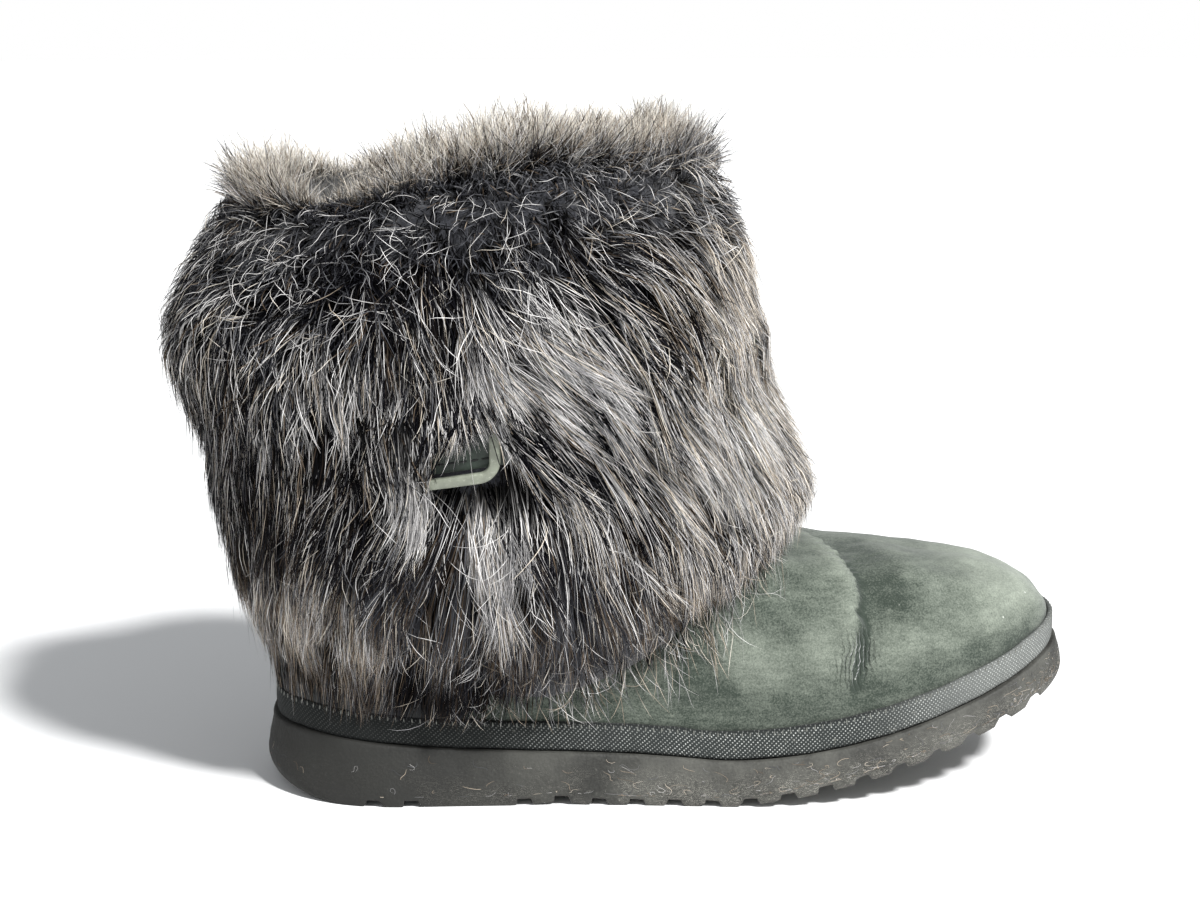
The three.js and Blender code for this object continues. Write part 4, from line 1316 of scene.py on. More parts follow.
# The least and greatest length in mm of each kind of hair that doesn't read it from the comb
WILD_LENGTH, WISP_LENGTH, STRAY_LENGTH = (14, 28), (12, 27), (3, 14)
WOOL_LENGTH, RIM_LENGTH = (3, 9), (8, 11)
# The rim's greatest height, the height and share at which it is held down, its reach to a side,
# and how deep its hair is rooted
RIM_TOP, RIM_HELD, RIM_HOLD, RIM_SIDE, RIM_ROOT = 232.5, 226, 0.6, 79, 5.5
# The least layer that combed and curly hair may have: how far it stands out past the fur's outside
MOST_PUFF, MOST_CURL_PUFF = -6.5, -7.0
# How far down the shaft, 0 to 1, the hair starts that can meet the nubuck
NEAR_HEM = 0.72
# Shed hairs are pale from their start, which is this far along a hair's colours
STRAY_START = 0.72
# The size of a lock, how narrow it gathers, and the size of a tuft; a stretch is length by width
LOCK_LENGTH, LOCK_RADIUS, LOCK_STRETCH, GATHER = 42.0, 4.5, 2.4, 0.54
TUFT_RADIUS, TUFT_STRETCH = 2.4, 2.6
# Where the hair thins out over the vamp, as the starts and ends of its fades
VAMP_DOWN, VAMP_X = (0.74, 0.90), (74, 100)
# The buckle under the hair, the hair just below it, and the window of its bare corner
BUCKLE_X, BUCKLE_RIDE, BELOW_BUCKLE_X, BELOW_BUCKLE_Z = 60, 4.8, 74, 101
BARE_BACK, BARE_FRONT, BARE_LOW, BARE_HIGH = 57, 79.3, 110.5, 127.5
# Where hair that starts just under the strap is shorter, as lowest and highest x and z
UNDER_STRAP = (46, 92), (96, 112)
# How many strands curl together in one arc of the wild hair
CURL_FAMILY = 11


def comb_at(point):
    """The comb table's columns at points of the fur, blended smoothly."""
    x, z = point[..., 0:1], point[..., 2:3]
    gap = (x - COMB["x"]) ** 2 + (z - COMB["z"]) ** 2
    weight = np.exp(-gap / (2 * COMB_REACH**2)) + 1e-7 / (gap + 1)
    weight /= weight.sum(-1, keepdims=True)
    read = {name: weight @ values for name, values in COMB.items()}
    lay = np.radians(COMB["lay"])
    read["lay"] = np.arctan2(weight @ np.sin(lay), weight @ np.cos(lay))
    return read


def hollow_at(point):
    """How far points of the outer side lie in a hollow darkened by painted shade, 0 to 1."""
    gap = (point[..., 0:1] - HOLLOWS["x"]) ** 2 + (point[..., 2:3] - HOLLOWS["z"]) ** 2
    return np.exp(-gap / HOLLOWS["radius"] ** 2).max(-1) * (point[..., 1] < 20)


def scatter(draw, count, low, high, growth):
    """Random places on the fur's outside, even by area, thinned by `growth` of down and point."""
    angles, downs = np.empty(0), np.empty(0)
    while len(angles) < count:
        angle, down = draw.uniform(0, 2 * math.pi, 3 * count), draw.uniform(low, high, 3 * count)
        point, round_way, down_way, _ = fur_frame(angle, down)
        area = np.linalg.norm(np.cross(round_way, down_way), axis=1)
        keep = draw.uniform(0, LARGEST_AREA, 3 * count) < area * growth(down, point)
        angles, downs = np.append(angles, angle[keep]), np.append(downs, down[keep])
    return angles[:count], downs[:count]


def flow(angle, down, length, steps, swerve, bend=0.0):
    """Follows the comb over the fur's outside: downs, points, normals and ways at each step."""
    trail = []
    stride = length / steps
    for _ in range(steps + 1):
        point, round_way, down_way, out = fur_frame(angle, down)
        lay = comb_at(point)["lay"] + swerve
        way = stack(np.cos(lay), 0 * lay, np.sin(lay))
        way = way - out * dot(way, out) - [0, 0, 0.12]
        way = unit(way - out * dot(way, out))
        trail.append((down, point, out, way))
        rr, dd = dot(round_way, round_way), dot(down_way, down_way)
        rd, wr, wd = dot(round_way, down_way), dot(way, round_way), dot(way, down_way)
        solve = stride[:, None] / np.maximum(rr * dd - rd * rd, 1e-6)
        angle = angle + (solve * (wr * dd - wd * rd))[:, 0]
        down = np.clip(down + (solve * (wd * rr - wr * rd))[:, 0], 0.0, 1.25)
        swerve = swerve + bend * stride
    return [np.stack(part, 1) for part in zip(*trail)]


def off_the_foot(paths, gap):
    """Lifts points that lie in or on the nubuck off it by `gap`."""
    flat = paths.reshape(-1, 3)
    gaps = np.broadcast_to(gap, paths.shape[:2]).ravel()
    for i in np.nonzero(flat[:, 2] < NUBUCK_TOP)[0]:
        spot, normal, _, _ = UPPER_TREE.find_nearest(Vector(flat[i]), 30.0)
        if spot is not None and (Vector(flat[i]) - spot).dot(normal) < gaps[i]:
            flat[i] = spot + normal * float(gaps[i])
    return flat.reshape(paths.shape)


def over_strap(paths, margin):
    """Lifts points that lie in or on the strap over it by `margin`."""
    side = paths[..., :2] - [STRAP_X, 0]
    ring = np.linalg.norm(side / [STRAP_LENGTH, STRAP_SIDE], axis=-1)
    reach = np.linalg.norm(side, axis=-1)
    past = (ring - 1) * reach / np.maximum(ring, 0.1)
    off = np.abs(paths[..., 2] - strap_height(paths[..., 0]))
    lift = np.maximum(0, margin - past) * (past > -8)
    lift = lift * smooth(off, STRAP_WIDTH / 2 + 13, STRAP_WIDTH / 2 - 1)
    moved = paths.copy()
    moved[..., :2] += side * (lift / reach)[..., None]
    return moved


def over_vamp(down, point):
    """Where the hair thins out over the nubuck in front."""
    return smooth(down, *VAMP_DOWN) * smooth(point[..., 0], *VAMP_X)


def below_buckle(point):
    """Where the hair hangs just below the buckle."""
    x, y, z = point[..., 0], point[..., 1], point[..., 2]
    level = smooth(np.abs(z - BELOW_BUCKLE_Z), 14, 7)
    return smooth(np.abs(x - BELOW_BUCKLE_X), 30, 20) * level * (y < -30)


def over_buckle(paths):
    """How much higher the hair rides where it crosses the buckle."""
    near = smooth(np.abs(paths[..., 0] - BUCKLE_X), 24, 17) * smooth(paths[..., 1], -30, -50)
    return BUCKLE_RIDE * near


def shorten(paths, share):
    """The same paths, ended at a share of their length."""
    steps = paths.shape[1] - 1
    at = np.linspace(0, 1, steps + 1) * share[:, None] * steps
    low = np.minimum(at.astype(int), steps - 1)
    rows = np.arange(len(paths))[:, None]
    return lerp(paths[rows, low], paths[rows, low + 1], (at - low)[..., None])


def on_sole(place, share):
    """Points on the sole's wall at ring places and shares of its height, and their ways out."""
    edge = outline(place.ravel(), 0)
    out = unit(edge - outline(place.ravel(), 1))
    share = share.ravel()
    flat = edge - out * np.interp(share, [0, 0.2, 0.6, 1], [0.2, 0.25, 1.1, 2.9])[:, None]
    low = sole_bottom(flat[:, 0]) + FOOT_RISE
    points = raised(flat, lerp(low, sole_top(flat[:, 0]), share))
    return points.reshape(*place.shape, 3), raised(out, 0 * share).reshape(*place.shape, 3)


def clear_buckle(paths, draw):
    """Ends the strands that would hang over the buckle's bare corner, and says which to keep."""
    steps = paths.shape[1] - 1
    fine = np.linspace(0, steps, 4 * steps + 1)
    low = np.minimum(fine.astype(int), steps - 1)
    dense = lerp(paths[:, low], paths[:, low + 1], (fine - low)[None, :, None])
    x = dense[..., 0] + draw.normal(0, 1.0, len(paths))[:, None]
    z = dense[..., 2]
    hang = np.abs(draw.normal(0, 2.5, len(paths)))[:, None]
    bare = (x > BARE_BACK) & (x < BARE_FRONT - 0.15 * np.maximum(z - 124, 0))
    bare &= z > BARE_LOW + 0.14 * (x - BARE_BACK)
    bare &= z + hang < BARE_HIGH + 0.15 * (x - BARE_BACK) + 4 * smooth(x, 68, 75)
    bare &= dense[..., 1] < -40
    first = np.where(bare.any(1), bare.argmax(1) / (4 * steps), 1.0)
    low, high = UNDER_STRAP
    start = paths[:, 0, ::2]
    under = ((start > low) & (start < high)).all(1) & (paths[:, 0, 1] < -40)
    first = first * np.where(under, draw.uniform(0.40, 0.75, len(paths)), 1.0)
    return shorten(paths, first), first > 0.3


def off_the_sole(paths, draw, loose=0.05):
    """Ends strands that would hang below the hem, but for a share that may reach the tape."""
    top, tip = paths[:, 0, 2], paths[:, -1, 2]
    line = straight(HEM_LINE, paths[:, -1, 0]) - 12 * smooth(np.abs(paths[:, -1, 1]), 40, 20)
    line = np.where(draw.uniform(0, 1, len(paths)) < loose, TAPE_TOP, line)
    floor = line + np.abs(draw.normal(0, 5.0, len(paths)))
    share = np.where(tip < floor, (top - floor) / np.maximum(top - tip, 1), 1.0)
    return shorten(paths, np.clip(share, 0.25, 1))


def strand_mesh(name, paths, outs, width, shade, roll, finish, start):
    """Flat tapering strands along paths. `outs` is the way that each faces, `shade` its place in
    the shades, and `start` how far along its colours it begins."""
    count, steps = paths.shape[0], paths.shape[1]
    way = unit(np.gradient(paths, axis=1))
    side = unit(np.cross(way, outs))
    roll = roll[:, None, None]
    side = side * np.cos(roll) + np.cross(way, side) * np.sin(roll)
    along = np.linspace(0, 1, steps)
    half = 0.5 * width[:, None] * np.interp(along, *TAPER)
    left, right = paths - side * half[..., None], paths + side * half[..., None]
    body = np.stack([left[:, :-1], right[:, :-1]], 2).reshape(count, -1, 3)
    points = np.concatenate([body, paths[:, -1:]], 1)
    size = points.shape[1]
    first = np.arange(count)[:, None] * size
    rung = first + np.arange(steps - 2)[None] * 2
    quads = np.stack([rung, rung + 1, rung + 3, rung + 2], -1).reshape(-1, 4)
    ends = first + [size - 3, size - 2, size - 1]
    sides = np.tile([-CHART_WIDTH / 2, CHART_WIDTH / 2], steps - 1)
    u = shade[:, None] + np.append(sides, 0.0)
    reach = lerp(start[:, None], 1, np.append(np.repeat(along[:-1], 2), 1.0))
    chart = stack(u, reach).reshape(-1, 2)
    return new_piece(name, points.reshape(-1, 3), [quads, ends], [finish], "fur", OFBake=chart)


def shade_of(draw, tone, warm):
    """A strand's place in SHADES from its tone, 0 to 1, and the chance that it is warm."""
    tone = np.clip(tone, 0.0, 1.0)
    is_warm = draw.uniform(0, 1, len(tone)) < warm
    return np.where(is_warm, 0.52 + 0.47 * tone, 0.01 + 0.47 * tone)


def mixed_tone(draw, bright, soft):
    """Tones of strands: a share is silver, some are grey, the rest black, or paler if soft."""
    pick = draw.uniform(0, 1, len(bright))
    bright = np.clip(bright, 0, 1.1)
    silver = pick < (0.55 - 0.15 * soft) * bright + 0.02
    grey = pick < (0.63 + 0.30 * bright) * bright + 0.07
    middle = np.select([silver, grey], [0.86, 0.62], 0.06 + 0.30 * soft)
    spread = np.select([silver, grey], [0.09, 0.12], 0.07)
    return middle + draw.normal(0, 1, len(bright)) * spread


def hem_share(draw, root, down):
    """How much of its length hair keeps: less near the hem, and least over the vamp."""
    least = lerp(0.60, 0.20, smooth(root[:, 0], 55, 92))
    return lerp(1, draw.uniform(least, 0.95), smooth(down, 0.6, 0.95))


def nearest(root, lock, lock_way):
    """The lock that each root belongs to, and its distance across from that lock's line."""
    owner, across = np.empty(len(root), int), np.empty(len(root))
    for i in range(0, len(root), 500):
        gap = root[i : i + 500, None] - lock[None]
        along = dot(gap, lock_way[None])
        off = np.linalg.norm(gap - along * lock_way[None], axis=-1)
        far = (along[..., 0] / LOCK_STRETCH) ** 2 + off**2
        owner[i : i + 500] = far.argmin(1)
        across[i : i + 500] = off[np.arange(len(off)), far.argmin(1)]
    return owner, across


def steps_along(steps):
    """Shares of a strand's length at its steps."""
    return np.linspace(0, 1, steps + 1)[None]


def ripples(draw, number, least, most, s):
    """The phase along curly hairs, each of which swings `least` to `most` times."""
    swing = draw.uniform(least, most, (number, 1)) * 2 * math.pi * s
    return swing + draw.uniform(0, 6.3, (number, 1))


class BOOT_OT_fur(bpy.types.Operator):
    """The shaft's hair: combed locks, wild curls, short wool, the rim's pile and stray hairs"""

    bl_idname = "boot.fur"
    bl_label = "Fur"

    def execute(self, context):
        self.looks = context.scene.boot_fur
        self.thin = 1.0
        self.finish = hair_finish("fur_hair", SHADES)
        kinds = (self.combed, self.wild, self.wool, self.rim, self.wisps, self.strays)
        for grow, seed in zip(kinds, (101, 202, 303, 404, 505, 606)):
            grow(np.random.default_rng(seed))
        return {"FINISHED"}

    def dress(self, draw, parts, paths, outs, tone, warm, width, roll=0.5, start=0.0):
        """Strands of one kind: `parts` is their piece's name, or says which go to which piece."""
        shade = shade_of(draw, tone, warm)
        width = self.looks.width / MM * width * lerp(1.7, 0.8, np.clip(tone, 0, 1))
        rolls = draw.normal(0, roll, len(paths))
        if isinstance(parts, str):
            parts = {parts: np.full(len(paths), True)}
        for name, chosen in parts.items():
            pick = np.nonzero(chosen)[0]
            begin = np.maximum(0.5 * below_buckle(paths[pick, 0]), start)
            picked = (part[pick] for part in (paths, outs, width, shade, rolls))
            strand_mesh(name, *picked, self.finish, begin)

    def locks(self, draw, steps):
        """The large locks: paths and ways, then what each adds to its hair's lay and looks."""
        angle, down = scatter(draw, self.looks.locks, 0.1, 1.0, lambda down, point: 1.0)
        count = len(angle)
        swerve = np.radians(draw.normal(0, 12, count))
        _, path, _, way = flow(angle, down, np.full(count, LOCK_LENGTH), steps, swerve)
        bright, lift = draw.normal(0, 0.11, count), draw.normal(0, 0.07, count)
        return path, way, swerve, bright, lift, draw.normal(0, 0.14, count)

    def tufts(self, draw, steps):
        """Tufts that gather into the locks: how each one lies, and how its strands look."""
        lock, lock_way, swerve, lock_bright, lock_lift, lock_warm = self.locks(draw, steps)

        def growth(down, point):
            side = 1 + smooth(down, 0.8, 1.0) * smooth(point[:, 0], 100, 60)
            side = np.where(point[:, 1] < 0, 1.0, 0.7) * side * (1 - 0.8 * over_vamp(down, point))
            full = DEPTH["grows"](down) * comb_at(point)["full"] * side
            return full * (1 + 1.3 * below_buckle(point)) / 1.5

        angle, down = scatter(draw, self.looks.tufts, 0.08, 1.0, growth)
        root = fur_point(angle, down)
        near, across = nearest(root, lock[:, 0], lock_way[:, 0])
        edge = np.clip(across / LOCK_RADIUS, 0, 1.4) ** 2
        comb = comb_at(root)
        length = comb["length"] * draw.uniform(0.85, 1.1, len(near))
        turn = swerve[near] + np.radians(draw.normal(0, 4 + 12 * comb["curl"]))
        bend = draw.normal(0, 0.003 + 0.012 * comb["curl"])
        down, path, out, way = flow(angle, down, length, steps, turn, bend)
        depth = skin_depth(down, path)
        s = steps_along(steps)
        pull = GATHER * s[..., None] ** 1.25 * draw.uniform(0.5, 1.1, (len(near), 1, 1))
        path = lerp(path, lock[near], pull)
        late = path[:, 2]
        comb_late, hollow = comb_at(late), hollow_at(late)
        # painted shade: hair that ends low over the middle of the shaft is darker
        shade = 0.22 * smooth(late[:, 0], 84, 100) * smooth(late[:, 2], 82, 66)
        shade = shade * smooth(late[:, 0], 140, 122)
        bright = comb_late["bright"] - shade + lock_bright[near] + draw.normal(0, 0.06, len(near))
        # painted shade: strands at a lock's edge, between the locks, and in the hollows are darker
        bright = bright - (0.40 - 0.22 * comb_late["bright"]) * (edge - 0.3) - 0.8 * hollow
        warm = comb_late["warm"] + lock_warm[near]
        lift = lock_lift[near] + draw.normal(0, 0.05, len(near)) - 0.26 * edge - 0.35 * hollow
        return {
            "down": down,
            "path": path,
            "out": out,
            "way": way[:, 0],
            "depth": depth,
            "height": late[:, 2],
            "curl": comb["curl"],
            "bright": bright,
            "warm": warm,
            "lift": lift,
        }

    def combed(self, draw):
        """Strands gathered into tufts, which follow the comb."""
        steps, number = 3, int(self.looks.strands * self.thin)
        tufts = self.tufts(draw, steps)
        owner = draw.integers(0, len(tufts["down"]), number)
        tuft = {name: values[owner] for name, values in tufts.items()}
        path, out, way = tuft["path"], tuft["out"], tuft["way"]
        down, ends = tuft["down"][:, 0], tuft["down"][:, -1]
        s = steps_along(steps)
        aside = np.cross(out[:, 0], way)
        spread = TUFT_RADIUS * np.sqrt(draw.uniform(0, 1, number))
        turn = draw.uniform(0, 2 * math.pi, number)
        offset = way * (spread * np.cos(turn) * TUFT_STRETCH)[:, None]
        offset = offset + aside * (spread * np.sin(turn))[:, None]
        paths = path + offset[:, None] * (1 - 0.60 * s**1.2)[..., None]
        paths += draw.normal(0, 1, (number, 1, 3)) * (0.2 + 1.6 * s**2)[..., None]
        curl = tuft["curl"][:, None] * draw.uniform(0.3, 1.0, (number, 1))
        waves = ripples(draw, number, 0.4, 1.1, s)
        size = curl * (0.4 + 2.6 * s)
        paths += aside[:, None] * (size * np.sin(waves))[..., None]
        top = 0.88 + tuft["lift"] + 0.25 * below_buckle(path[:, 0])
        top = top + draw.normal(0, 0.10, number)
        rise = 1 - (1 - s) ** 2.4
        layer = tuft["depth"] * (1 - rise * top[:, None] - 0.05 * s**3) + pressed(paths) * rise
        layer = np.maximum(layer - size * np.cos(waves) * 0.5, MOST_PUFF)
        paths -= out * layer[..., None]
        share = draw.uniform(0.70, 1.0, number) * hem_share(draw, path[:, 0], down)
        paths = shorten(paths, share)
        over = draw.uniform(0, 1, (number, 1))
        bare = (over > 0.85) & (paths[..., 0] < 90)
        paths = over_strap(paths, np.where(bare, -9, 0.6 + 2.4 * over + over_buckle(paths)))
        paths, keep = clear_buckle(paths, draw)
        paths = off_the_sole(paths, draw)
        low = ends > NEAR_HEM
        gap = 0.35 + 0.9 * draw.uniform(0, 1, (low.sum(), 1))
        paths[low] = off_the_foot(paths[low], gap)
        tone = mixed_tone(draw, tuft["bright"], smooth(tuft["height"], 96, 62))
        greyed = draw.uniform(0, 1, number) < 0.35 * smooth(down, 0.7, 0.9)
        tone = np.where(greyed, 0.55, tone)
        # painted shade: strands at the back whose tips hang low by the tape are darker
        tone -= 0.30 * smooth(paths[:, -1, 2], 46, 34) * smooth(paths[:, -1, 0], 100, 70)
        width = draw.uniform(0.7, 1.1, number) * lerp(1, 0.6, smooth(down, 0.65, 0.9))
        outer = paths[:, 0, 1] < 0
        front, high = paths[:, 2, 0] > MIDWAY_X, paths[:, 2, 2] > MIDWAY_Z
        sides = {"outer_front": outer & front, "outer_back": outer & ~front, "inner": ~outer}
        parts = {}
        for side, chosen in sides.items():
            parts[f"fur_{side}_high"] = keep & chosen & high
            parts[f"fur_{side}_low"] = keep & chosen & ~high
        self.dress(draw, parts, paths, out, tone, 0.62 * tuft["warm"], width)

    def wild(self, draw):
        """Long curly hairs in loose arcs that cross the others, most at the shaft's upper back."""
        steps = 7

        def growth(down, point):
            curly = (0.08 + comb_at(point)["curl"] ** 1.6) * smooth(down, 0.03, 0.14)
            return curly * lerp(0.3, 1, smooth(down, 0.95, 0.75))

        number = int(self.looks.wild * self.thin)
        arcs = number // CURL_FAMILY
        angle, down = scatter(draw, arcs, 0.06, 1.0, growth)
        curl = comb_at(fur_point(angle, down))["curl"]
        swerve = np.radians(draw.normal(0, 8 + 30 * curl))
        bend = draw.normal(0, 0.006 + 0.026 * curl)
        top = draw.uniform(0.75, 1.08, arcs)
        owner = draw.integers(0, arcs, number)
        alone = draw.uniform(0, 1, number) < 0.18
        angle = angle[owner] + draw.normal(0, 0.034, number)
        down = np.clip(down[owner] + draw.normal(0, 0.020, number), 0.03, 1)
        curl = curl[owner]
        band = smooth(down, 0.30, 0.20)
        stray = draw.normal(0, 1, number) * np.where(alone, 0.9, 0.10 + 0.14 * curl + 0.5 * band)
        length = draw.uniform(*WILD_LENGTH, number) * (1 - 0.4 * band)
        length = length * lerp(0.4, 1, smooth(down, 0.95, 0.7))
        turn = bend[owner] + draw.normal(0, 0.004 + 0.010 * curl)
        down, path, out, way = flow(angle, down, length, steps, swerve[owner] + stray, turn)
        s = steps_along(steps)
        rise = (1 - (1 - s) ** 2.6) * (top[owner] + draw.normal(0, 0.05, number))[:, None]
        layer = skin_depth(down, path) * (1 - rise) + pressed(path) * rise
        waves = ripples(draw, number, 0.5, 1.8, s)
        size = (0.3 + 1.1 * curl)[:, None] * s * draw.uniform(0.2, 1.2, (number, 1))
        path += np.cross(out[:, 0], way[:, 0])[:, None] * (size * np.sin(waves))[..., None]
        path -= out * np.maximum(layer - size * np.cos(waves) * 0.8, MOST_CURL_PUFF)[..., None]
        path = over_strap(path, 0.6 + 2 * draw.uniform(0, 1, (number, 1)) + over_buckle(path))
        cut, keep = clear_buckle(path, draw)
        across = draw.uniform(0, 1, number) < 0.12
        path = np.where(across[:, None, None], path, cut)
        keep |= across
        low = down[:, -1] > NEAR_HEM
        path[low] = off_the_foot(path[low], 0.3 + 0.8 * draw.uniform(0, 1, (low.sum(), 1)))
        comb = comb_at(path[:, 4])
        tone = np.where(draw.uniform(0, 1, number) < 0.35 + 0.5 * comb["bright"], 0.95, 0.36)
        # painted shade darkens curls in the hollows
        tone = tone + draw.normal(0, 0.09, number) - 0.7 * hollow_at(path[:, 4])
        width = draw.uniform(0.8, 1.25, number) * lerp(1, 0.6, smooth(down[:, 0], 0.6, 0.9))
        width, warm = width * (1 - 0.35 * band), comb["warm"] * 0.6
        kept = (part[keep] for part in (path, out, tone, warm, width))
        self.dress(draw, "fur_curls", *kept)

    def wisps(self, draw):
        """Fine loose hairs that curl out of the hem over the nubuck."""
        steps, number = 7, int(self.looks.wisps * self.thin)

        def growth(down, point):
            front = smooth(down, 0.74, 0.86) * smooth(point[:, 0], 40, 66)
            return front * np.where(point[:, 1] < 0, 1.0, 0.4)

        angle, down = scatter(draw, number, 0.6, 1.0, growth)
        length = draw.uniform(*WISP_LENGTH, number)
        turn, bend = draw.normal(0, 0.35, number), draw.normal(0, 0.045, number)
        down, path, out, _ = flow(angle, down, length, steps, turn, bend)
        s = steps_along(steps)
        sunk = skin_depth(down, path) * (1 - s * draw.uniform(0.3, 1.0, (number, 1)))
        path -= out * sunk[..., None]
        path += draw.normal(0, 1.6, (number, 1, 3)) * s[..., None] ** 2
        path = off_the_sole(path, draw, 1.0)
        path = off_the_foot(path, 0.3 + draw.uniform(0, 2.2, (number, 1)) * s)
        tone = draw.uniform(0.55, 1.0, number)
        self.dress(draw, "fur_wisps", path, out, tone, 0.4, draw.uniform(0.45, 0.75, number))

    def strays(self, draw):
        """Shed hairs caught on the sole's side, most of them low down and towards the toe."""
        steps, number = 7, int(self.looks.strays * self.thin)
        place = draw.uniform(0, 2, number)
        low = draw.uniform(0, 1, number)
        low = low ** np.where(draw.uniform(0, 1, number) < 0.5, 5.0, 1.2)
        turn = draw.uniform(0, 2 * math.pi, number)
        bend, wave = draw.normal(0, 2.2, number), draw.normal(0, 1.2, number)
        length = draw.uniform(*STRAY_LENGTH, number) * lerp(0.6, 1, low)
        s = steps_along(steps)
        heading = turn[:, None] + bend[:, None] * s + wave[:, None] * np.sin(5 * s)
        stride = (length / steps)[:, None]
        run = np.cumsum(stride * np.cos(heading), 1) / (0.5 * math.pi * LENGTH)
        rise = np.cumsum(stride * np.sin(heading), 1) / 26
        path, out = on_sole(place[:, None] + run, np.clip(low[:, None] + rise, 0.02, 0.94))
        path += out * 0.22
        tone = draw.uniform(0.40, 0.85, number)
        width = draw.uniform(0.25, 0.5, number)
        keep = draw.uniform(0, 1, number) < lerp(0.12, 1, smooth(path[:, 0, 0], 30, 190))
        self.dress(draw, {"stray_hairs": keep}, path, out, tone, 0.5, width, 0.1, STRAY_START)

    def wool(self, draw):
        """Short dense wool, bare where the hair parts under the rim."""
        steps, number = 3, int(self.looks.wool * self.thin)

        def growth(down, point):
            return 0.12 + 2.6 * smooth(down, 0.03, 0.08) * smooth(down, 0.36, 0.24)

        angle, down = scatter(draw, number, 0.02, 1.0, growth)
        parting = smooth(down, 0.36, 0.26)
        away = np.where(down < 0.17, math.pi, 0) * parting
        length = draw.uniform(*WOOL_LENGTH, number)
        turn = away + draw.normal(0, 0.8, number)
        down, path, out, _ = flow(angle, down, length, steps, turn)
        s = steps_along(steps)
        top = lerp(0.5, 0.85, parting)[:, None] * draw.uniform(0.7, 1.1, (number, 1))
        path -= out * (skin_depth(down, path) * (1 - (1 - (1 - s) ** 2) * top))[..., None]
        path -= out * (np.minimum(pressed(path), 0) * (0.3 + 0.7 * s))[..., None]
        path += draw.normal(0, 0.6, (number, 1, 3)) * s[..., None]
        low = down[:, -1] > NEAR_HEM
        path[low] = off_the_foot(path[low], 0.2)
        path, keep = clear_buckle(path, draw)
        pale = smooth(path[:, -1, 0], 40, 135) * parting
        tone = 0.10 + 0.24 * pale + 0.24 * parting + draw.normal(0, 0.10, number)
        width = draw.uniform(0.8, 1.2, number)
        self.dress(draw, "fur_wool", path[keep], out[keep], tone[keep], 0.05, width[keep], 0.7)

    def rim(self, draw):
        """Pile that stands up all round the top edge, pale at its tips."""
        steps, number = 3, int(self.looks.rim * self.thin)
        angle = draw.uniform(0, 2 * math.pi, number)
        # -1 is low on the outside, 0 on the crown and 1 on the collar's inside
        over = draw.uniform(-1, 1, number)
        down = 0.07 * np.maximum(-over, 0)
        down = down * (1 + 1.2 * smooth(fur_point(angle, down)[:, 0], 100, 132))
        crown, _, _, out = fur_frame(angle, down)
        share = np.maximum(over, 0)
        point = lerp(crown, collar_ring(angle, crown[:, 2] - 3), share[:, None])
        point[:, 2] += 2.5 * np.sin(np.pi * share)
        x, y = point[:, 0], point[:, 1]
        level = unit(out * [1, 1, 0])
        out = unit(lerp(out, [0, 0, 1] - 0.3 * level, np.minimum(1.3 * share, 1)[:, None]))
        lean = lerp(-0.30, 0.42, smooth(x, 10, 120)) - 0.32 * smooth(x, 116, 138)
        lean = lean * (1 - 0.5 * share)
        tufts = stack(*(wander(point, size, 51 + i) for i, size in enumerate((7, 7, 12))))
        back = smooth(x, 26, 4)
        way = out + stack(lean - 0.3 * back, 0 * lean, 0.42 + 0.1 * back) + 0.20 * tufts
        way = unit(way + draw.normal(0, 0.26, (number, 3)))
        near = smooth(y, 25, -10)
        hump = 0.55 * hill(x - 86, 26) - 0.45 * hill(x - 30, 9)
        length = draw.uniform(*RIM_LENGTH, number) * (1 + 0.20 * tufts[:, 2] + hump * near)
        length += straight(CROWN_PILE, x) * (1 - near * smooth(x, 136, 124))
        tall = draw.uniform(0, 1, number) < 0.06
        length = (length + 2.5 * back) * np.where(tall, 1.35, 1.0)
        s = steps_along(steps)[..., None]
        bend = draw.normal(0, 0.36, (number, 1, 3))
        path = (point - out * RIM_ROOT)[:, None]
        path = path + length[:, None, None] * (way[:, None] * s + bend * s**2)
        path = shorten(path, np.where(np.abs(path[:, -1, 1]) > RIM_SIDE, 0.5, 1.0))
        path[..., 2] -= RIM_HOLD * np.maximum(path[..., 2] - RIM_HELD, 0)
        path[..., 2] = np.minimum(path[..., 2], RIM_TOP)
        face = unit(np.cross(way, np.cross(level, way)) + draw.normal(0, 0.3, (number, 3)))
        outs = np.repeat(face[:, None], steps + 1, 1)
        tone = 1.07 + 0.30 * tufts[:, 0] + draw.normal(0, 0.34, number)
        tone -= 0.56 * smooth(-over + 0.25 * tufts[:, 1], -0.3, 0.9)
        warm = 0.85 - 0.6 * smooth(-over, 0.1, 0.9)
        self.dress(draw, "fur_rim", path, outs, tone, warm, draw.uniform(0.48, 0.78, number))


# Strap and buckle


def strap_point(turn, out, up):
    """A point by the strap: `out` from its outer face and `up` from its middle line."""
    along = stack(-STRAP_LENGTH * np.sin(turn), STRAP_SIDE * np.cos(turn))
    away = unit(stack(along[..., 1], -along[..., 0]))
    x = STRAP_X + STRAP_LENGTH * np.cos(turn) + away[..., 0] * out
    y = STRAP_SIDE * np.sin(turn) + away[..., 1] * out
    return stack(x, y, strap_height(x) + up)


def frame_line():
    """The middle line of the buckle's frame, laid flat: four round corners and four straights."""
    corner = BUCKLE_CORNER - BUCKLE_BAR / 2
    reach = np.array([BUCKLE_LENGTH, BUCKLE_HEIGHT]) / 2 - BUCKLE_CORNER
    signs = ((1, 1), (-1, 1), (-1, -1), (1, -1))
    line = []
    for quarter, sign in enumerate(signs):
        swing = np.linspace(0, math.pi / 2, 9) + quarter * math.pi / 2
        ways = corner * stack(np.cos(swing), np.sin(swing))
        arc = reach * sign + ways
        goal = reach * signs[(quarter + 1) % 4] + ways[-1]
        line += [arc, lerp(arc[-1], goal, np.linspace(0, 1, 8)[1:-1, None])]
    return np.concatenate(line)


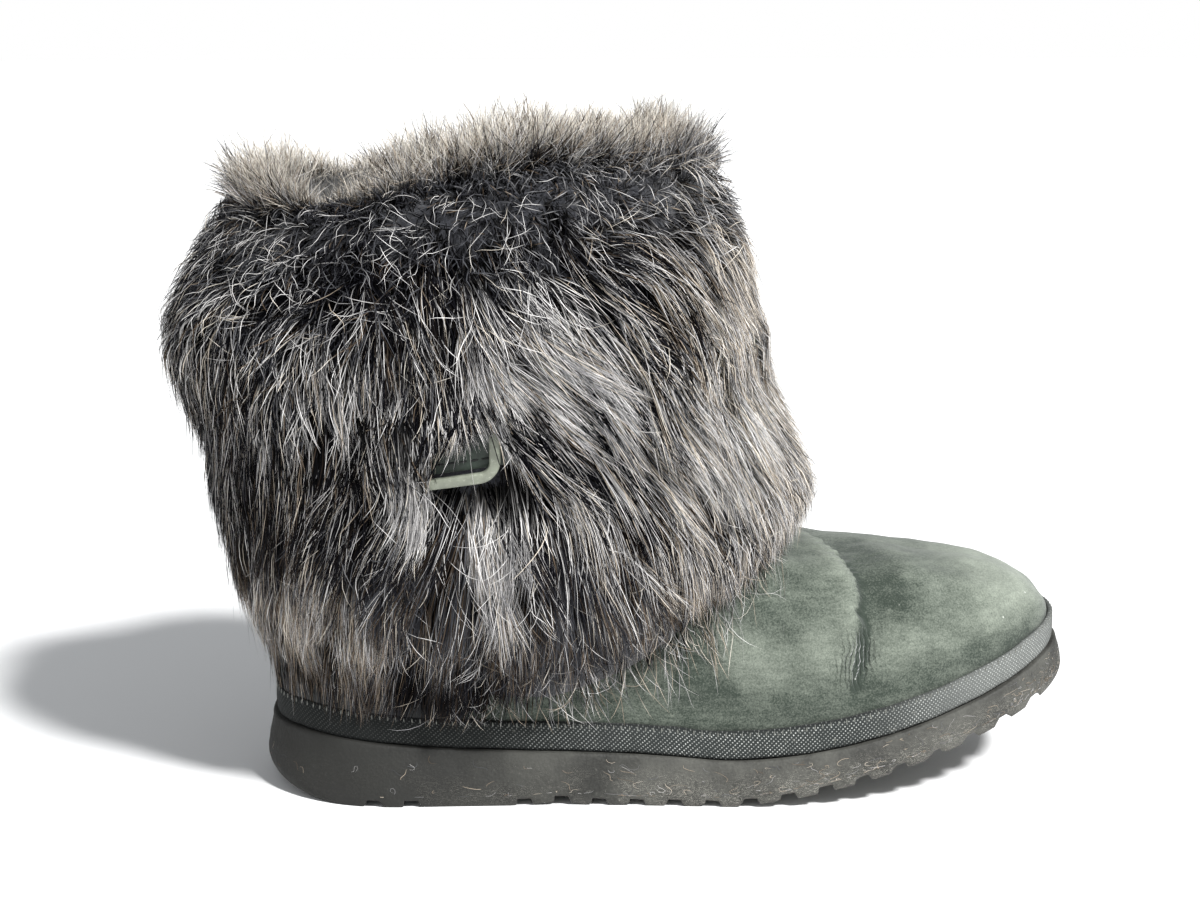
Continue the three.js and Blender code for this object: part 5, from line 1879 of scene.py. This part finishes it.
class BOOT_OT_strap(bpy.types.Operator):
    """Leather strap pressed into the fur, with its stitching, and the fastened buckle"""

    bl_idname = "boot.strap"
    bl_label = "Strap and buckle"

    def execute(self, context):
        looks = context.scene.boot_strap
        turn = np.arange(STRAP_STEPS) * 2 * math.pi / STRAP_STEPS
        points = np.concatenate([strap_point(turn, out, up) for out, up in STRAP_SECTION])
        leather = leather_finish("strap_leather", looks.leather, rgb(looks.leather, 0.35), 0.55)
        faces = grid(len(STRAP_SECTION), len(turn), closed=True)
        new_piece("strap_band", points, [faces], [leather], "strap_leather", ["strap"])
        self.stitches(looks)
        self.buckle(looks)
        return {"FINISHED"}

    def stitches(self, looks):
        """Sewn rows along both edges of the strap near the buckle."""
        pitch = looks.stitch / MM
        turns = BUCKLE_MIDDLE + (np.arange(-11, 12) * pitch) / STRAP_LENGTH
        ups = np.repeat([-STRAP_SEAM, STRAP_SEAM], len(turns))
        turns = np.tile(turns, 2)
        spots = strap_point(turns, 0.0, ups)
        run = unit(strap_point(turns + 0.01, 0.0, ups) - strap_point(turns - 0.01, 0.0, ups))
        out = unit(strap_point(turns, 1.0, ups) - spots)
        axes = np.stack([run, np.cross(out, run), out], -1)
        sizes = np.tile([pitch * 0.72, 0.7, 0.6], (len(turns), 1))
        points, faces = many(*bead(), spots, axes, sizes)
        new_piece("strap_stitches", points, faces, [thread_finish(looks.thread)], "strap_leather")

    def buckle(self, looks):
        """A rounded frame bent round the strap, with a softened square section."""
        path = frame_line()
        run = unit(np.roll(path, -1, 0) - np.roll(path, 1, 0))
        aside = stack(run[:, 1], -run[:, 0])
        angle = 2 * math.pi * np.arange(16) / 16
        section = stack(np.cos(angle), np.sin(angle))
        section = np.sign(section) * np.abs(section) ** BUCKLE_SOFT
        rows = []
        for across, out in section * [BUCKLE_BAR / 2, BUCKLE_THICKNESS / 2]:
            flat = path + aside * across
            worn = 0.08 * wander(np.pad(flat, ((0, 0), (0, 1))), 7, 61)
            turn = BUCKLE_MIDDLE + flat[:, 0] / STRAP_LENGTH
            away = SEAT_GAP + BUCKLE_THICKNESS / 2 + out + worn
            rows.append(strap_point(turn, away, flat[:, 1]))
        faces = grid(len(section), len(path), closed=True)
        finish = coated_finish(looks.coat)
        points = np.concatenate(rows)
        new_piece("buckle_frame", points, [faces], [finish], "buckle_metal", ["buckle"])


# Stage

FLOOR_HALF = 6.0
KEY_WAY, FILL_SPOT, FILL_SIZE = (0.55, -0.62, 1.0), (-1.2, -1.0, 0.7), 1.2
SKY, BEHIND = (0.94, 0.97, 1.0), (1, 1, 1)
CAMERA_SPOT, CAMERA_PITCH, CAMERA_TURN = (-0.0551, -0.6953, 0.265), 77.45, -3.9


def facing(way, axis):
    """The turn that points an object's axis along a way."""
    return Vector(way).to_track_quat(axis, "Y").to_euler()


class BOOT_OT_stage(bpy.types.Operator):
    """Pale floor, soft studio lights and the camera"""

    bl_idname = "boot.stage"
    bl_label = "Stage"

    def execute(self, context):
        scene, looks = context.scene, context.scene.boot_stage
        mesh = bpy.data.meshes.new("floor")
        signs = ((-1, -1), (1, -1), (1, 1), (-1, 1))
        corners = [(x * FLOOR_HALF, y * FLOOR_HALF, 0) for x, y in signs]
        mesh.from_pydata(corners, [], [(0, 1, 2, 3)])
        mesh.materials.append(ground_finish(looks.floor))
        floor = add_object("floor", mesh)
        sun = bpy.data.lights.new("key", "SUN")
        sun.energy, sun.angle = looks.key, math.radians(looks.soft)
        add_object("key", sun).rotation_euler = facing(KEY_WAY, "Z")
        area = bpy.data.lights.new("fill", "AREA")
        area.energy, area.size = looks.fill, FILL_SIZE
        lamp = add_object("fill", area)
        lamp.location = FILL_SPOT
        centre = Vector((CAD_BOX[0][0] + CAD_BOX[1][0], 0, CAD_BOX[1][2])) / 2
        lamp.rotation_euler = facing(centre - lamp.location, "-Z")
        scene.world = self.studio(looks.sky)
        scene.view_settings.view_transform = "Standard"
        lens = bpy.data.cameras.new("camera")
        lens.lens, lens.sensor_width = looks.lens, 36.0
        camera = add_object("camera", lens)
        camera.location = CAMERA_SPOT
        camera.rotation_euler = (math.radians(CAMERA_PITCH), 0, math.radians(CAMERA_TURN))
        scene.camera = camera
        return {"FINISHED"}

    def studio(self, strength):
        """A soft pale surround, seen as plain white behind the boot."""
        world = bpy.data.worlds.new("studio")
        world.use_nodes = True
        nodes, links = world.node_tree.nodes, world.node_tree.links
        glow = nodes["Background"]
        plain = nodes.new("ShaderNodeBackground")
        seen = nodes.new("ShaderNodeLightPath")
        mix = nodes.new("ShaderNodeMixShader")
        glow.inputs["Color"].default_value = rgb(SKY)
        glow.inputs["Strength"].default_value = strength
        plain.inputs["Color"].default_value = rgb(BEHIND)
        links.new(seen.outputs["Is Camera Ray"], mix.inputs[0])
        links.new(glow.outputs[0], mix.inputs[1])
        links.new(plain.outputs[0], mix.inputs[2])
        links.new(mix.outputs[0], nodes["World Output"].inputs[0])
        return world


# Each box of the panel: its name in the scene, what can be changed there, and its operators
BOXES = (
    (
        "boot_foot",
        BootFoot,
        (BOOT_OT_sole, BOOT_OT_tape, BOOT_OT_upper, BOOT_OT_insole, BOOT_OT_shaft),
    ),
    ("boot_fur", BootFur, (BOOT_OT_fur,)),
    ("boot_strap", BootStrap, (BOOT_OT_strap,)),
    ("boot_stage", BootStage, (BOOT_OT_stage,)),
)


class BOOT_PT_panel(bpy.types.Panel):
    """The boot's pieces and what can be changed on them"""

    bl_label = "Fur-cuffed boot"
    bl_idname = "BOOT_PT_panel"
    bl_space_type = "VIEW_3D"
    bl_region_type = "UI"
    bl_category = "Boot"

    def draw(self, context):
        for name, group, operators in BOXES:
            box = self.layout.box()
            for operator in operators:
                box.operator(operator.bl_idname)
            for looks in group.__annotations__:
                box.prop(getattr(context.scene, name), looks)


def register():
    for name, group, operators in BOXES:
        bpy.utils.register_class(group)
        setattr(bpy.types.Scene, name, PointerProperty(type=group))
        for operator in operators:
            bpy.utils.register_class(operator)
    bpy.utils.register_class(BOOT_PT_panel)


def unregister():
    bpy.utils.unregister_class(BOOT_PT_panel)
    for name, group, operators in reversed(BOXES):
        for operator in reversed(operators):
            bpy.utils.unregister_class(operator)
        delattr(bpy.types.Scene, name)
        bpy.utils.unregister_class(group)


def main():
    register()
    for piece in ("sole", "tape", "upper", "insole", "shaft", "fur", "strap", "stage"):
        getattr(bpy.ops.boot, piece)()


if __name__ == "__main__":
    main()
